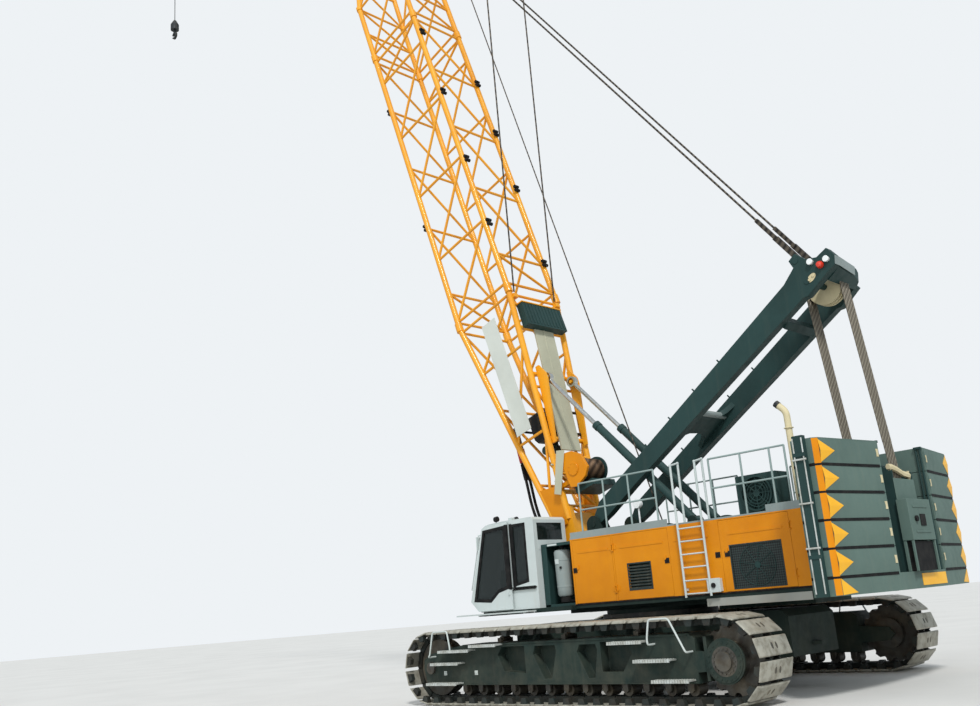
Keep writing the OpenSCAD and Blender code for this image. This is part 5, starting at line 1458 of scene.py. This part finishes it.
@dataclass
class Counterweight:
    """Folded faces and warning panels of the rear ballast, and the boxes and posts beside it."""

    rear: float = -5.61
    outer: float = 2.7
    corner: float = 0.09
    sweep: float = 0.235
    base_bottom: float = 1.6003
    base_height: float = 0.285
    slab_height: float = 0.443
    inner: float = 0.95
    slabs: int = 5
    fold: float = 0.024
    # how far a triangle reaches inward on the base and on a slab
    base_triangle: float = 0.4
    slab_triangle: float = 0.36
    # rear face, half width, lower and upper edge of the box on the rear tower
    box_rear: float = -5.74
    box_half: float = 0.48
    box_low: float = 2.4
    box_top: float = 3.1
    box_foot: float = 1.885
    tower_face: float = -5.549
    pin_heights: tuple[float, float, float] = (2.35, 3.05, 3.75)

    def rear_point(self, y: float, z: float, stand: float) -> Point:
        """Returns the point at y and z that stands proud of the swept rear face, on the left."""
        share = (y - self.inner) / (self.outer - self.corner - self.inner)
        return (self.rear + self.sweep * share - stand, y, z)

    @property
    def levels(self) -> list[tuple[float, float]]:
        """Works out how high the faces of the base and of each slab are.

        Returns:
            The lower and the upper edge of each face, from the base upward.
        """
        bottoms = [(self.base_bottom, self.base_height)]
        bottoms += [(self.base_bottom + self.base_height + i * self.slab_height, self.slab_height)
                    for i in range(self.slabs)]
        return [(bottom + 0.012, bottom + height - 0.024) for bottom, height in bottoms]

    def folded_faces(self) -> None:
        """Builds the skins that fold the slabs' rear faces outward, and black strips of painted shade in the
        joints between them.
        """
        skins, seam_shade, marks = Shape(), Shape(), Shape()
        edge = self.outer - self.corner
        for low, high in self.levels[1:]:
            middle = (low + high) / 2
            skin = ((low + 0.008, -0.004), (low + 0.008, 0.001), (middle, self.fold), (high - 0.018, 0.001),
                    (high - 0.018, -0.004))
            skins.loft([[self.rear_point(y, z, stand) for z, stand in skin]
                        for y in (self.inner + 0.05, edge)])
            mark = ((0.06, -0.06), (0.115, -0.06), (0.115, 0.07), (0.06, 0.07))
            marks.prism([self.rear_point(self.inner + y, middle + z, self.fold + 0.003) for y, z in mark],
                        (0.03, 0, 0))
        # black strips along each joint stand in for the shade between the slabs: painted shade
        for low, _ in self.levels[1:]:
            swept = self.rear + self.sweep
            band = [(self.rear, self.inner + 0.05), (swept, edge), (swept + 0.08, self.outer),
                    (swept + 0.44, self.outer)]
            for (x0, y0), (x1, y1) in zip(band, band[1:]):
                out = Vector((-(y1 - y0), x1 - x0, 0)).normalized() * 0.0022
                gap = ((x0, y0, -0.04), (x1, y1, -0.04), (x1, y1, 0.008), (x0, y0, 0.008))
                seam_shade.prism([(x, y, low + z) for x, y, z in gap], tuple(out))
        for shape in (skins, seam_shade, marks):
            shape.mirrored()
        skins.piece("ballast_faces", BALLAST_PAINT)
        seam_shade.piece("ballast_seam_shade", RUBBER)
        marks.piece("ballast_marks", CREAM_PAINT)

    def warning_panels(self) -> None:
        """Builds an orange band with a yellow triangle at the outer end of each slab's rear face."""
        bands, triangles = Shape(), Shape()
        edge = self.outer - self.corner
        for i, (low, high) in enumerate(self.levels):
            middle = (low + high) / 2
            bands.prism([self.rear_point(edge + 0.01, low, 0.003), self.rear_point(edge + 0.01, high, 0.003),
                         (self.rear + self.sweep + 0.074, self.outer - 0.003, high),
                         (self.rear + self.sweep + 0.074, self.outer - 0.003, low)], (-0.002, 0.002, 0))
            if i == 0:
                triangles.prism([self.rear_point(edge - 0.004, low, 0.002),
                                 self.rear_point(edge - 0.004, high, 0.002),
                                 self.rear_point(edge - self.base_triangle, low + 0.02, 0.002)],
                                 (-0.004, 0.0006, 0))
                continue
            for end in (low + 0.012, high - 0.02):
                triangles.prism([self.rear_point(edge + 0.018, end, 0.003),
                                 self.rear_point(edge + 0.018, middle, self.fold + 0.002),
                                 self.rear_point(edge - self.slab_triangle, middle, self.fold + 0.002)],
                                 (-0.004, 0.0006, 0))
        bands.mirrored()
        triangles.mirrored()
        bands.piece("ballast_bands", HOUSE_PAINT)
        triangles.piece("ballast_triangles", SIGNAL_YELLOW)

    def tower_box(self) -> None:
        """Builds the control box on the rear tower, its legs, a black block of painted shade below it and the
        cream lip of the tower's head.
        """
        box = Shape()
        rear, face = self.box_rear, self.tower_face
        box.block((rear, -self.box_half, self.box_low), (face, self.box_half, self.box_top))
        for y in (-0.47, 0.43):
            for low, high in ((rear + 0.01, rear + 0.05), (-5.6, face)):
                box.block((low, y, self.box_foot), (high, y + 0.04, self.box_low + 0.001))
        box.block((-5.56, -0.43, self.box_top), (-5.548, 0.43, 3.48))
        for z in (2.52, 2.95):
            box.block((rear - 0.012, -0.3, z), (rear + 0.002, 0.3, z + 0.045))
        box.piece("tower_box", BALLAST_PAINT, bevel=0.006)
        dark = Shape()
        # the black block under the box is painted shade on the tower between the stacks; the small plate and
        # knob on the box are dark fittings
        dark.block((-5.7, -0.4, 1.886), (-5.56, 0.4, 2.38))
        dark.block((-5.756, -0.15, 2.64), (-5.738, 0.06, 2.84))
        dark.disc((-5.739, 0.24, 2.76), (-1, 0, 0), 0.05, 0.04, 20)
        dark.piece("tower_shade_and_fittings", RUBBER, bevel=0.003)
        lip = Shape()
        ring = ((-0.03, -0.05), (0.03, -0.05), (0.045, 0.0), (0.02, 0.045), (-0.02, 0.045), (-0.045, 0.0))
        lip.loft([[(-5.5 + a, y, z + b) for a, b in ring]
                  for y, z in ((0.425, 3.69), (0.3, 3.69), (0.08, 3.65), (-0.12, 3.59), (-0.425, 3.56))])
        for y in (-0.4, 0.37):
            lip.block((-5.52, y, 3.45), (-5.48, y + 0.03, 3.64))
        lip.piece("tower_lip", CREAM_PAINT, bevel=0.004)

    def rear_plate(self) -> None:
        """Builds the blank yellow plate on the base's rear face, right of the middle."""
        plate = Shape()
        plate.block((self.rear - 0.008, -0.94, self.base_bottom + 0.045),
                    (self.rear + 0.001, 0.1, self.base_bottom + 0.245))
        plate.piece("rear_plate", SIGNAL_YELLOW, bevel=0.002)

    def post_fittings(self) -> None:
        """Builds the bright edges and pins of the tie posts."""
        fittings = Shape()
        x0, x1, y = self.rear + self.sweep + 0.17, self.rear + self.sweep + 0.35, self.outer + 0.11
        top = self.base_bottom + self.base_height + self.slabs * self.slab_height
        for x in (x0 + 0.012, x1 - 0.012):
            fittings.block((x - 0.01, y - 0.002, self.base_bottom + 0.05), (x + 0.01, y + 0.012, top))
        for z in self.pin_heights:
            fittings.tube([(x0 - 0.03, y + 0.02, z), (x1 + 0.03, y + 0.02, z)], 0.016, 10)
        fittings.mirrored()
        fittings.piece("post_fittings", GALVANISED, bevel=0.002, slot=Slot.ROD_STEEL)

    def build(self) -> None:
        """Builds the ballast's fittings."""
        self.folded_faces()
        self.warning_panels()
        self.tower_box()
        self.rear_plate()
        self.post_fittings()


@dataclass
class Leaning:
    """A sub-assembly that leans in the XZ plane about its foot pin."""

    # x and z of the foot pin
    foot: tuple[float, float] = (0.0, 0.0)

    @property
    def lean(self) -> float:
        """Returns the angle of its axis above the X axis in radians."""
        return math.pi / 2

    def at(self, forward: float, up: float, y: float) -> Point:
        """Turns a distance before the axis, one along it and a Y into a point of the row's frame."""
        return (self.foot[0] + up * cos(self.lean) + forward * sin(self.lean), y,
                self.foot[1] + up * sin(self.lean) - forward * cos(self.lean))

    def plate(self, shape: Shape, outline: Outline, near: float, far: float) -> None:
        """Adds a plate between two values of Y, with its corners given as forward and up."""
        shape.prism([self.at(t, s, near) for t, s in outline], (0, far - near, 0))


@dataclass
class Boom(Leaning):
    """Board, hoses, drive, winch, walkway and rope rollers of the lattice boom."""

    foot: tuple[float, float] = (1.6, 2.35)
    angle: float = 73.0
    # rear chords of the foot section: where they start up the boom, how far behind its axis, and their slant
    chord_low: float = 1.3
    chord_depth: float = 0.19
    chord_slant: float = 0.75 / 5.73
    # number and spacing of the hoses
    hose_count: int = 4
    hose_pitch: float = 0.06
    # places forward and up of the rope motor and of the auxiliary winch, and the winch's rope
    motor_place: tuple[float, float] = (-0.1, 3.06)
    winch_place: tuple[float, float] = (-0.907, 2.18)
    rope_turns: int = 16
    rope_pitch: float = 0.0393
    # x and z of the corners of the winch's orange cover
    cover: tuple = ((1.7, 5.08), (1.4, 5.11), (1.13, 5.0), (0.96, 4.7), (1.05, 4.5), (1.33, 4.3),
                    (1.5, 4.31), (1.66, 4.75))
    # lower and upper end of the walkway sheet and half its width, and the place of the tube above the guard
    walkway_low: float = 2.9
    walkway_high: float = 6.18
    walkway_half: float = 0.34
    guard_tube: float = 6.62
    # rope rollers: forward, left, and places up the boom
    rollers: tuple = ((-0.94, 0.87, (9.0, 11.1, 13.5, 15.8)), (-0.94, -0.87, (8.1, 10.6, 12.6, 14.5)),
                      (0.94, 0.87, (10.3, 14.5)))

    @property
    def lean(self) -> float:
        """Returns the boom's angle in radians."""
        return math.radians(self.angle)

    def side_board(self) -> None:
        """Builds the blank white board on the left side of the foot section."""
        board = Shape()
        y = 0.915
        corners = [(2.354, y, 5.8), (2.809, y, 5.661), (3.7, y, 8.576), (3.245, y, 8.715)]
        board.prism(corners, (0, 0.018, 0))
        board.piece("side_board", BOARD_WHITE, Body.BOOM, 0.003)

    def rear(self, up: float) -> float:
        """Returns how far forward the plane of the foot section's rear chords lies at a place up the boom."""
        return -(self.chord_depth + self.chord_slant * (up - self.chord_low))

    def hoses(self) -> None:
        """Builds the hydraulic hoses at the boom's foot, with their couplings and red sleeves."""
        hoses, marked = Shape(), Shape()
        for i in range(self.hose_count):
            y = 0.56 - i * self.hose_pitch
            sway = 0.02 * sin(i * 2.1)
            path = [self.at(0.36, 4.05, y * 0.7), self.at(0.56, 3.95, y), self.at(0.6 + sway, 3.4, y),
                    self.at(0.66, 2.7, y + sway),
                    self.at(0.75 + sway, 1.95, y), self.at(0.72, 1.35, y - 0.03),
                    self.at(0.45, 0.85, y * 0.8), self.at(0.15, 0.95, y * 0.7)]
            hoses.tube(rounded(path, 0.35, 6), 0.021, 8)
            marked.tube([self.at(0.597 + sway, 3.45, y), self.at(0.628 + sway / 2, 3.08, y)], 0.034, 12)
            hoses.tube([self.at(0.63 + sway / 2, 3.04, y), self.at(0.665, 2.66, y + sway)], 0.032, 12)
        hoses.tube([self.at(0.55, 3.9, -0.72), self.at(0.55, 3.9, 0.72)], 0.03, 10)
        hoses.piece("boom_hoses", RUBBER, Body.BOOM)
        marked.piece("hose_sleeves", RED_SLEEVE, Body.BOOM)

    def drive(self) -> None:
        """Builds the dark valve box and the motor inside the foot section, on their carrier bars."""
        box = Shape()
        self.plate(box, [(-0.36, 3.3), (0.02, 3.3), (0.1, 3.42), (0.1, 4.0), (-0.26, 4.0), (-0.36, 3.86)],
                   -0.1, 0.46)
        for up in (3.36, 3.9):
            behind = self.rear(up)
            for y in (-0.1, 0.42):
                box.tube([self.at(behind, up, y), self.at(-0.2, up, y)], 0.035, 10)
            box.tube([self.at(behind - 0.02, up, -0.66), self.at(behind - 0.02, up, 0.66)], 0.035, 10)
        for k in range(6):
            low, high = 3.47 + k * 0.085, 3.51 + k * 0.085
            self.plate(box, [(0.098, low), (0.112, low), (0.112, high), (0.098, high)], -0.06, 0.42)
        box.piece("valve_box", BLACK_STEEL, Body.BOOM, 0.006)
        motor = Shape()
        t, s = self.motor_place
        motor.disc(self.at(t, s, -0.05), (0, 1, 0), 0.15, 0.38, 28)
        motor.disc(self.at(t, s, 0.32), (0, 1, 0), 0.1, 0.14, 24)
        for turn in turns(8):
            motor.disc(self.at(t + 0.125 * cos(turn), s + 0.125 * sin(turn), 0.328), (0, 1, 0), 0.012, 0.014,
                       6)
        self.plate(motor, [(-0.2, 3.1), (0.0, 3.1), (0.0, 3.32), (-0.2, 3.32)], 0.02, 0.26)
        motor.piece("rope_motor", UPPER_GREY, Body.BOOM, 0.004)

    def winch(self) -> None:
        """Builds the auxiliary winch on the foot's rear: orange covers, brown drum and dark flanges."""
        covers, drum, flanges = Shape(), Shape(), Shape()
        centre_t, centre_s = self.winch_place
        covers.prism([(x, 0.66, z) for x, z in self.cover], (0, 0.075, 0))
        middle = self.at(centre_t, centre_s, 0.734)
        covers.disc(middle, (0, 1, 0), 0.15, 0.02, 32)
        for turn in turns(8):
            covers.disc(self.at(centre_t + 0.12 * cos(turn), centre_s + 0.12 * sin(turn), 0.753), (0, 1, 0),
                        0.012, 0.012, 6)
        for sign in (1, -1):
            for low, high in ((1.96, 2.06), (2.42, 2.5)):
                near, far = sorted((sign * 0.56, sign * 0.664))
                arm = [(self.rear(low) - 0.04, low), (-0.7, low), (-0.7, high),
                       (self.rear(high) - 0.04, high)]
                self.plate(covers, arm, near, far)
        # The covers take the darker house copy of the enamel: painted shade on the boom's rear.
        made = covers.piece("winch_covers", HOUSE_PAINT, Body.BOOM, 0.012)
        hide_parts("boom_winch")
        drum.disc(self.at(centre_t, centre_s, -0.1), (0, 1, 0), 0.235, 0.665, 40)
        for k in range(self.rope_turns):
            drum.ring(self.at(centre_t, centre_s, -0.05 + k * self.rope_pitch), 0.238, 0.021, 40)
        drum.piece("winch_rope", BROWN_ROPE, Body.BOOM)
        for low in (-0.1, 0.565):
            flanges.disc(self.at(centre_t, centre_s, low), (0, 1, 0), 0.315, 0.03, 48)
        flanges.disc(self.at(centre_t, centre_s, -0.18), (0, 1, 0), 0.09, 0.85, 24)
        shelf = [(-0.64, 1.7), (-1.18, 1.7), (-1.18, 1.84), (-0.76, 1.84), (-0.64, 2.3)]
        self.plate(flanges, shelf, -0.24, 0.56)
        flanges.piece("winch_flanges", UPPER_GREY, Body.BOOM, 0.004)

    def walkway(self) -> None:
        """Builds the pale walkway sheet with its ridge."""
        sheet = Shape()
        low, high, half = self.walkway_low, self.walkway_high, self.walkway_half

        def place(stand: float, up: float, y: float) -> Point:
            """Returns a point that stands behind the plane of the rear chords."""
            return self.at(self.rear(up) - stand, up, y)

        for y0, y1 in ((-half, -0.02), (0.02, half)):
            side = ((0.056, y0), (0.056, y1), (0.098, y1), (0.098, y0))
            sheet.loft([[place(stand, up, y) for stand, y in side] for up in (low, high)])
        ridge = ((0.06, -0.03), (0.06, 0.03), (0.104, 0.03), (0.112, 0.0), (0.104, -0.03))
        sheet.loft([[place(stand, up, y) for stand, y in ridge] for up in (low, high)])
        sheet.piece("walkway_sheet", WALK_SHEET, Body.BOOM, 0.003)

    def guard_box(self) -> None:
        """Builds the ribbed guard box above the walkway, with its lip and the tube between the chords."""
        guard, lip = Shape(), Shape()
        self.plate(guard, [(-0.862, 5.96), (-1.07, 5.96), (-1.07, 6.58), (-0.88, 6.58)], -0.7, 0.7)
        for k in range(11):
            y = -0.64 + k * 0.12
            self.plate(guard, [(-1.068, 6.01), (-1.084, 6.01), (-1.084, 6.54), (-1.068, 6.54)], y, y + 0.045)
        guard.piece("boom_guard", UPPER_GREY, Body.BOOM, 0.005)
        self.plate(lip, [(-0.86, 6.578), (-1.095, 6.578), (-1.095, 6.606), (-0.86, 6.606)], -0.72, 0.72)
        behind = self.rear(self.guard_tube)
        lip.tube([self.at(behind, self.guard_tube, y) for y in (-0.82, 0.82)], 0.04, 12)
        arm = [(behind - 0.02, 6.59), (-1.0, 6.578), (-1.0, 6.606), (behind - 0.02, 6.64)]
        for y in (-0.69, 0.66):
            self.plate(lip, arm, y, y + 0.03)
        lip.piece("guard_lip", BOOM_PAINT_LIT, Body.BOOM, 0.003)

    def foot_plates(self) -> None:
        """Builds the pale plate beside the foot section and the orange webs at the foot pins."""
        side = Shape()
        side.prism([(1.56, 0.75, 5.16), (1.8, 0.75, 5.18), (1.975, 0.75, 4.22), (1.78, 0.75, 4.18)],
                   (0, 0.012, 0))
        for up in (2.15, 2.55):
            side.tube([self.at(self.rear(up), up, 0.6), self.at(self.rear(up) - 0.02, up, 0.752)], 0.022, 10)
        side.piece("foot_side_plate", WALK_SHEET, Body.BOOM, 0.002)
        web = Shape()
        web.prism([self.at(-0.17, 1.2, 0.585), self.at(0.17, 1.2, 0.585), self.at(0.31, 2.2, 0.64),
                   self.at(-0.31, 2.06, 0.632)], (0, 0.02, 0))
        web.mirrored()
        web.piece("foot_webs", HOUSE_PAINT, Body.BOOM, 0.003)

    def rope_rollers(self) -> None:
        """Builds the small rope rollers that sit on the chords of the straight section."""
        rollers = Shape()
        for forward, side, places in self.rollers:
            stand = math.copysign(0.055, forward)
            for up in places:
                inward = -math.copysign(0.11, side)
                axis = (0, math.copysign(1, side), 0)
                for shift in (-0.06, 0.06):
                    place = self.at(forward + stand * 1.9, up + shift, side + inward)
                    rollers.disc(place, axis, 0.045, 0.15, 18)
                near, far = sorted((side + inward * 0.3, side + inward * 0.15))
                reach = forward + stand * 2.6
                self.plate(rollers, [(forward, up - 0.09), (reach, up - 0.09), (reach, up + 0.09),
                                     (forward, up + 0.09)], near, far)
        rollers.piece("rope_rollers", RUBBER, Body.BOOM, 0.002)

    def build(self) -> None:
        """Builds the boom's fittings."""
        self.side_board()
        self.hoses()
        self.drive()
        self.winch()
        self.walkway()
        self.guard_box()
        self.foot_plates()
        self.rope_rollers()


@dataclass
class AFrame(Leaning):
    """The two plate legs of the A-frame, their hood, cross members, lamps and shafts."""

    foot: tuple[float, float] = (0.9, 3.42)
    head: tuple[float, float] = (-4.6, 7.72)
    sheave: tuple[float, float] = (-4.77, 7.27)
    leg_y: tuple[float, float] = (0.56, 0.76)
    # places of the pegs along the left leg
    pegs: tuple[float, ...] = (2.1, 2.9, 3.7, 4.5)
    # the falls: ropes in a band, their spacing, half the way between the bands, and where the halves meet
    falls_count: int = 6
    falls_pitch: float = 0.06
    falls_half: float = 0.352
    falls_split: float = 3.15
    falls_foot: Point = (-5.095, 0.0, 3.45)
    # corners of a leg: forward of its axis and along it
    leg: tuple = (
        (-0.06, -0.06), (0.06, -0.06), (0.25, 0.42), (-0.12, 6.5), (-0.06, 6.86), (0.11, 6.9), (0.11, 7.08),
        (-0.134, 7.121), (-0.305, 7.278), (-0.343, 7.52), (-0.56, 7.518), (-0.694, 7.385), (-0.673, 7.184),
        (-0.663, 6.642), (-0.613, 6.563), (-0.185, 1.4), (-0.13, 0.42))

    @property
    def lean(self) -> float:
        """Returns the angle of the line from its foot pin to its head in radians."""
        return math.atan2(self.head[1] - self.foot[1], self.head[0] - self.foot[0])

    def legs(self) -> None:
        """Builds both legs, the hood between their heads and the shafts."""
        legs = Shape()
        low, high = self.leg_y
        legs.disc(self.at(0, 0, low), (0, 1, 0), 0.12, high - low, 32)
        for s in self.pegs:
            start = 0.25 - (s - 0.42) * 0.0609
            legs.tube([self.at(start - 0.01, s, 0.66), self.at(start + 0.11, s, 0.66)], 0.017, 10)
        legs.mirrored()
        self.plate(legs, self.leg, low, high)
        # the right leg ends lower, with a plain top
        right = [(t, s) if s < 7.15 else (min(max(t, -0.64), -0.3), 7.13)
                 for t, s in self.leg if s < 7.15 or s > 7.3]
        self.plate(legs, right, -high, -low)
        hood = []
        for y, front, back, top in ((low + 0.001, -0.345, -0.69, 7.5), (-0.3, -0.345, -0.68, 7.42),
                                    (-0.5, -0.36, -0.66, 7.36), (-0.64, -0.4, -0.64, 7.18)):
            ring = ((front, 7.06), (front, top), (back + 0.13, top), (back, top - 0.13), (back, 7.06))
            hood.append([self.at(t, s, y) for t, s in ring])
        legs.loft(hood)
        tie = [(-0.6, 5.84), (-0.4, 5.84), (-0.36, 6.0), (-0.56, 6.0)]
        self.plate(legs, tie, -low - 0.001, low + 0.001)
        for x, z in (self.head, self.sheave):
            legs.disc((x, -high - 0.012, z), (0, 1, 0), 0.06, 2 * high + 0.024, 32)
        made = legs.piece("a_frame_legs", UPPER_GREY, Body.A_FRAME, 0.008)
        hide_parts("a_frame")

    def cross_member(self) -> None:
        """Builds the pale tube and the flared web between the legs, and the pale end plate of the head."""
        tube, web, rings = Shape(), Shape(), []
        tube.tube([self.at(-0.13, 3.35, -0.562), self.at(-0.13, 3.35, 0.562)], 0.07, 20)
        tube.piece("a_frame_cross", ROOF_GREY, Body.A_FRAME)
        flare = ((0.561, 0.62), (0.48, 0.42), (0.38, 0.31), (0.25, 0.24))
        for y, half in [(-y, half) for y, half in flare] + [(0.0, 0.215)] + list(reversed(flare)):
            ring = ((-0.07, -half), (-0.07, half), (-0.19, half), (-0.19, -half))
            rings.append([self.at(t, 3.08 + a, y) for t, a in ring])
        web.loft(rings)
        web.piece("a_frame_web", UPPER_GREY, Body.A_FRAME, 0.004)
        ends = Shape()
        rings = []
        for y in (0.752, 0.562, -0.15):
            drop = 0.004 + 0.08 * max(0.0, 0.56 - y) / 0.86
            ring = [(-0.566 - d, 7.511 + d) for d in (0.003, 0.009)] + [(-0.684 - d, 7.393 + d)
                                                                        for d in (0.009, 0.003)]
            rings.append([self.at(t, up - drop + 0.004, y) for t, up in ring])
        ends.loft(rings)
        ends.piece("a_frame_ends", ROOF_GREY, Body.A_FRAME, 0.002)

    def lamps(self) -> None:
        """Builds the red lamp, the white lamps and the oval cover on the head's left side."""
        y = self.leg_y[1]
        red, white, cover = Shape(), Shape(), Shape()
        red.turned((-5.08, y, 7.494), ((-0.002, 0.07), (0.04, 0.07), (0.085, 0.05), (0.095, 0.02)))
        red.piece("head_lamp_red", RED_LENS, Body.A_FRAME)
        for x, z in ((-5.216, 7.564), (-4.902, 7.603)):
            white.turned((x, y, z), ((-0.002, 0.055), (0.06, 0.06), (0.068, 0.052)))
        white.piece("head_lamps_white", LENS, Body.A_FRAME)
        along = Vector(self.at(0, 1, 0)) - Vector(self.at(0, 0, 0))
        across = Vector(self.at(1, 0, 0)) - Vector(self.at(0, 0, 0))
        centre = Vector((-4.867, y - 0.001, 7.305))
        cover.prism([tuple(centre + along * 0.105 * cos(t) + across * 0.06 * sin(t)) for t in turns(24)],
                    (0, 0.01, 0))
        for k in (-1, 1):
            cover.disc(tuple(centre + along * 0.05 * k + Vector((0, 0.009, 0))), (0, 1, 0), 0.03, 0.016, 6)
        cover.piece("head_oval_cover", CREAM_PAINT, Body.A_FRAME, 0.002)

    def falls(self) -> None:
        """Builds the bands of six falls that run from the A-frame's sheaves to the rear tower's."""
        bottom = Vector(self.falls_foot)
        top = Vector((self.sheave[0], 0, self.sheave[1]))
        down = (bottom - top).normalized()
        across = Vector((down.z, 0, -down.x))
        length = (bottom - top).length
        for body, radius, first, last in ((Body.UPPER_FALLS, 0.0215, 0.0, self.falls_split),
                                          (Body.LOWER_FALLS, 0.018, length - self.falls_split, length)):
            ropes = Shape()
            for side in (-self.falls_half, self.falls_half):
                for k in range(self.falls_count):
                    place = (k - (self.falls_count - 1) / 2) * self.falls_pitch
                    start = top + across * side + Vector((0, place, 0))
                    ropes.tube([tuple(start + down * first), tuple(start + down * last)], radius, 10)
            made = ropes.piece(body.value + "_ropes", FALL_ROPE, body)
            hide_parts(body.value)

    def build(self) -> None:
        """Builds the A-frame."""
        self.legs()
        self.falls()
        self.cross_member()
        self.lamps()


@dataclass
class Studio:
    """Camera, floor and lamps."""

    width_px: int = 980
    focal_px: float = 967.94
    middle_px: tuple[float, float] = (492.08, 354.78)
    height_px: int = 706
    place: Point = (-12.5698, 17.258, 1.8281)
    heading: float = -45.607
    elevation: float = 14.6745
    roll: float = 4.638
    floor_level: float = -0.002

    def camera(self) -> None:
        """Builds the camera at the photograph's place."""
        data = bpy.data.cameras.new("camera")
        data.sensor_width = 36.0
        data.lens = self.focal_px / self.width_px * data.sensor_width
        data.shift_x = 0.5 - self.middle_px[0] / self.width_px
        data.shift_y = (self.middle_px[1] - self.height_px / 2) / self.width_px
        data.clip_end = 500
        camera = added("camera", data)
        heading, elevation = math.radians(self.heading), math.radians(self.elevation)
        ahead = Vector((cos(heading) * cos(elevation), sin(heading) * cos(elevation), sin(elevation)))
        camera.rotation_mode = "QUATERNION"
        level = ahead.to_track_quat("-Z", "Y")
        turn = Matrix.Rotation(math.radians(self.roll), 4, ahead)
        camera.rotation_quaternion = turn.to_quaternion() @ level
        camera.location = self.place
        bpy.context.scene.camera = camera

    def floor(self) -> None:
        """Builds the pale floor."""
        size = 150.0
        mesh = bmesh.new()
        bmesh.ops.create_circle(mesh, cap_ends=True, segments=96, radius=size)
        data = bpy.data.meshes.new("floor")
        mesh.to_mesh(data)
        mesh.free()
        floor = added("floor", data)
        floor.location = (0, 0, self.floor_level)
        made = bpy.data.materials.new("floor_screed")
        made.use_nodes = True
        tree = made.node_tree
        tree.nodes.clear()
        colour = mixed(tree, patches(tree, 3.0), linear("D6D4CF"), linear("CFCDC8"))
        shader = add_node(tree, "ShaderNodeBsdfPrincipled", links={"Base Color": colour, "Roughness": 0.9})
        add_node(tree, "ShaderNodeOutputMaterial", links={"Surface": shader.outputs[0]})
        data.materials.append(made)

    def lamp(self, name: str, towards: Point, energy: float, angle: float) -> None:
        """Builds a soft sun lamp.

        Args:
            name: The lamp's name.
            towards: The direction in which its light travels.
            energy: Its strength.
            angle: Its apparent size in degrees, which softens its shadows.
        """
        data = bpy.data.lights.new(name, "SUN")
        data.energy, data.angle = energy, math.radians(angle)
        lamp = added(name, data)
        lamp.rotation_mode = "QUATERNION"
        lamp.rotation_quaternion = Vector(towards).to_track_quat("-Z", "Y")

    def sky(self) -> None:
        """Builds the even pale surround: soft light on the object, near white to the camera."""
        world = bpy.data.worlds.new("surround")
        bpy.context.scene.world = world
        world.use_nodes = True
        tree = world.node_tree
        tree.nodes.clear()
        seen = add_node(tree, "ShaderNodeLightPath")
        soft = add_node(tree, "ShaderNodeBackground", links={"Color": linear("DDE6EE"), "Strength": 0.75})
        shown = add_node(tree, "ShaderNodeBackground", links={"Color": linear("EEF2F5"), "Strength": 1.0})
        share = add_node(tree, "ShaderNodeMath", {"operation": "MAXIMUM"}, {
            "0": seen.outputs["Is Camera Ray"], "1": seen.outputs["Is Transmission Ray"]})
        both = add_node(tree, "ShaderNodeMixShader",
                        links={"0": share.outputs[0], "1": soft.outputs[0], "2": shown.outputs[0]})
        add_node(tree, "ShaderNodeOutputWorld", links={"Surface": both.outputs[0]})

    def build(self) -> None:
        """Builds the studio."""
        self.camera()
        self.floor()
        self.sky()
        self.lamp("key_lamp", (0.55, -0.45, -0.75), 2.3, 8.0)
        self.lamp("fill_lamp", (0.2, -0.9, -0.25), 0.7, 60.0)


def dress_nodes(frame: Mapping[str, Mapping[str, bpy.types.Object]]) -> None:
    """Gives each solid of the frame its finish.
    """
    for finish, names in NODE_FINISHES.items():
        for name in names:
            solid = frame["nodes"][name]
            solid.data.materials.clear()
            solid.data.materials.append(finish.material())
    LOG.info("%d solids dressed", sum(len(names) for names in NODE_FINISHES.values()))


def main() -> None:
    """Loads the frame, dresses it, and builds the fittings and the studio."""
    logging.basicConfig(level=logging.INFO, format="%(name)s: %(message)s")
    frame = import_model()
    dress_nodes(frame)
    for assembly in (Undercarriage(), MachineryHouse(), Cab(), Counterweight(), Boom(), AFrame(), Studio()):
        assembly.build()
    bpy.context.scene.view_settings.view_transform = "Standard"


if __name__ == "__main__":
    main()
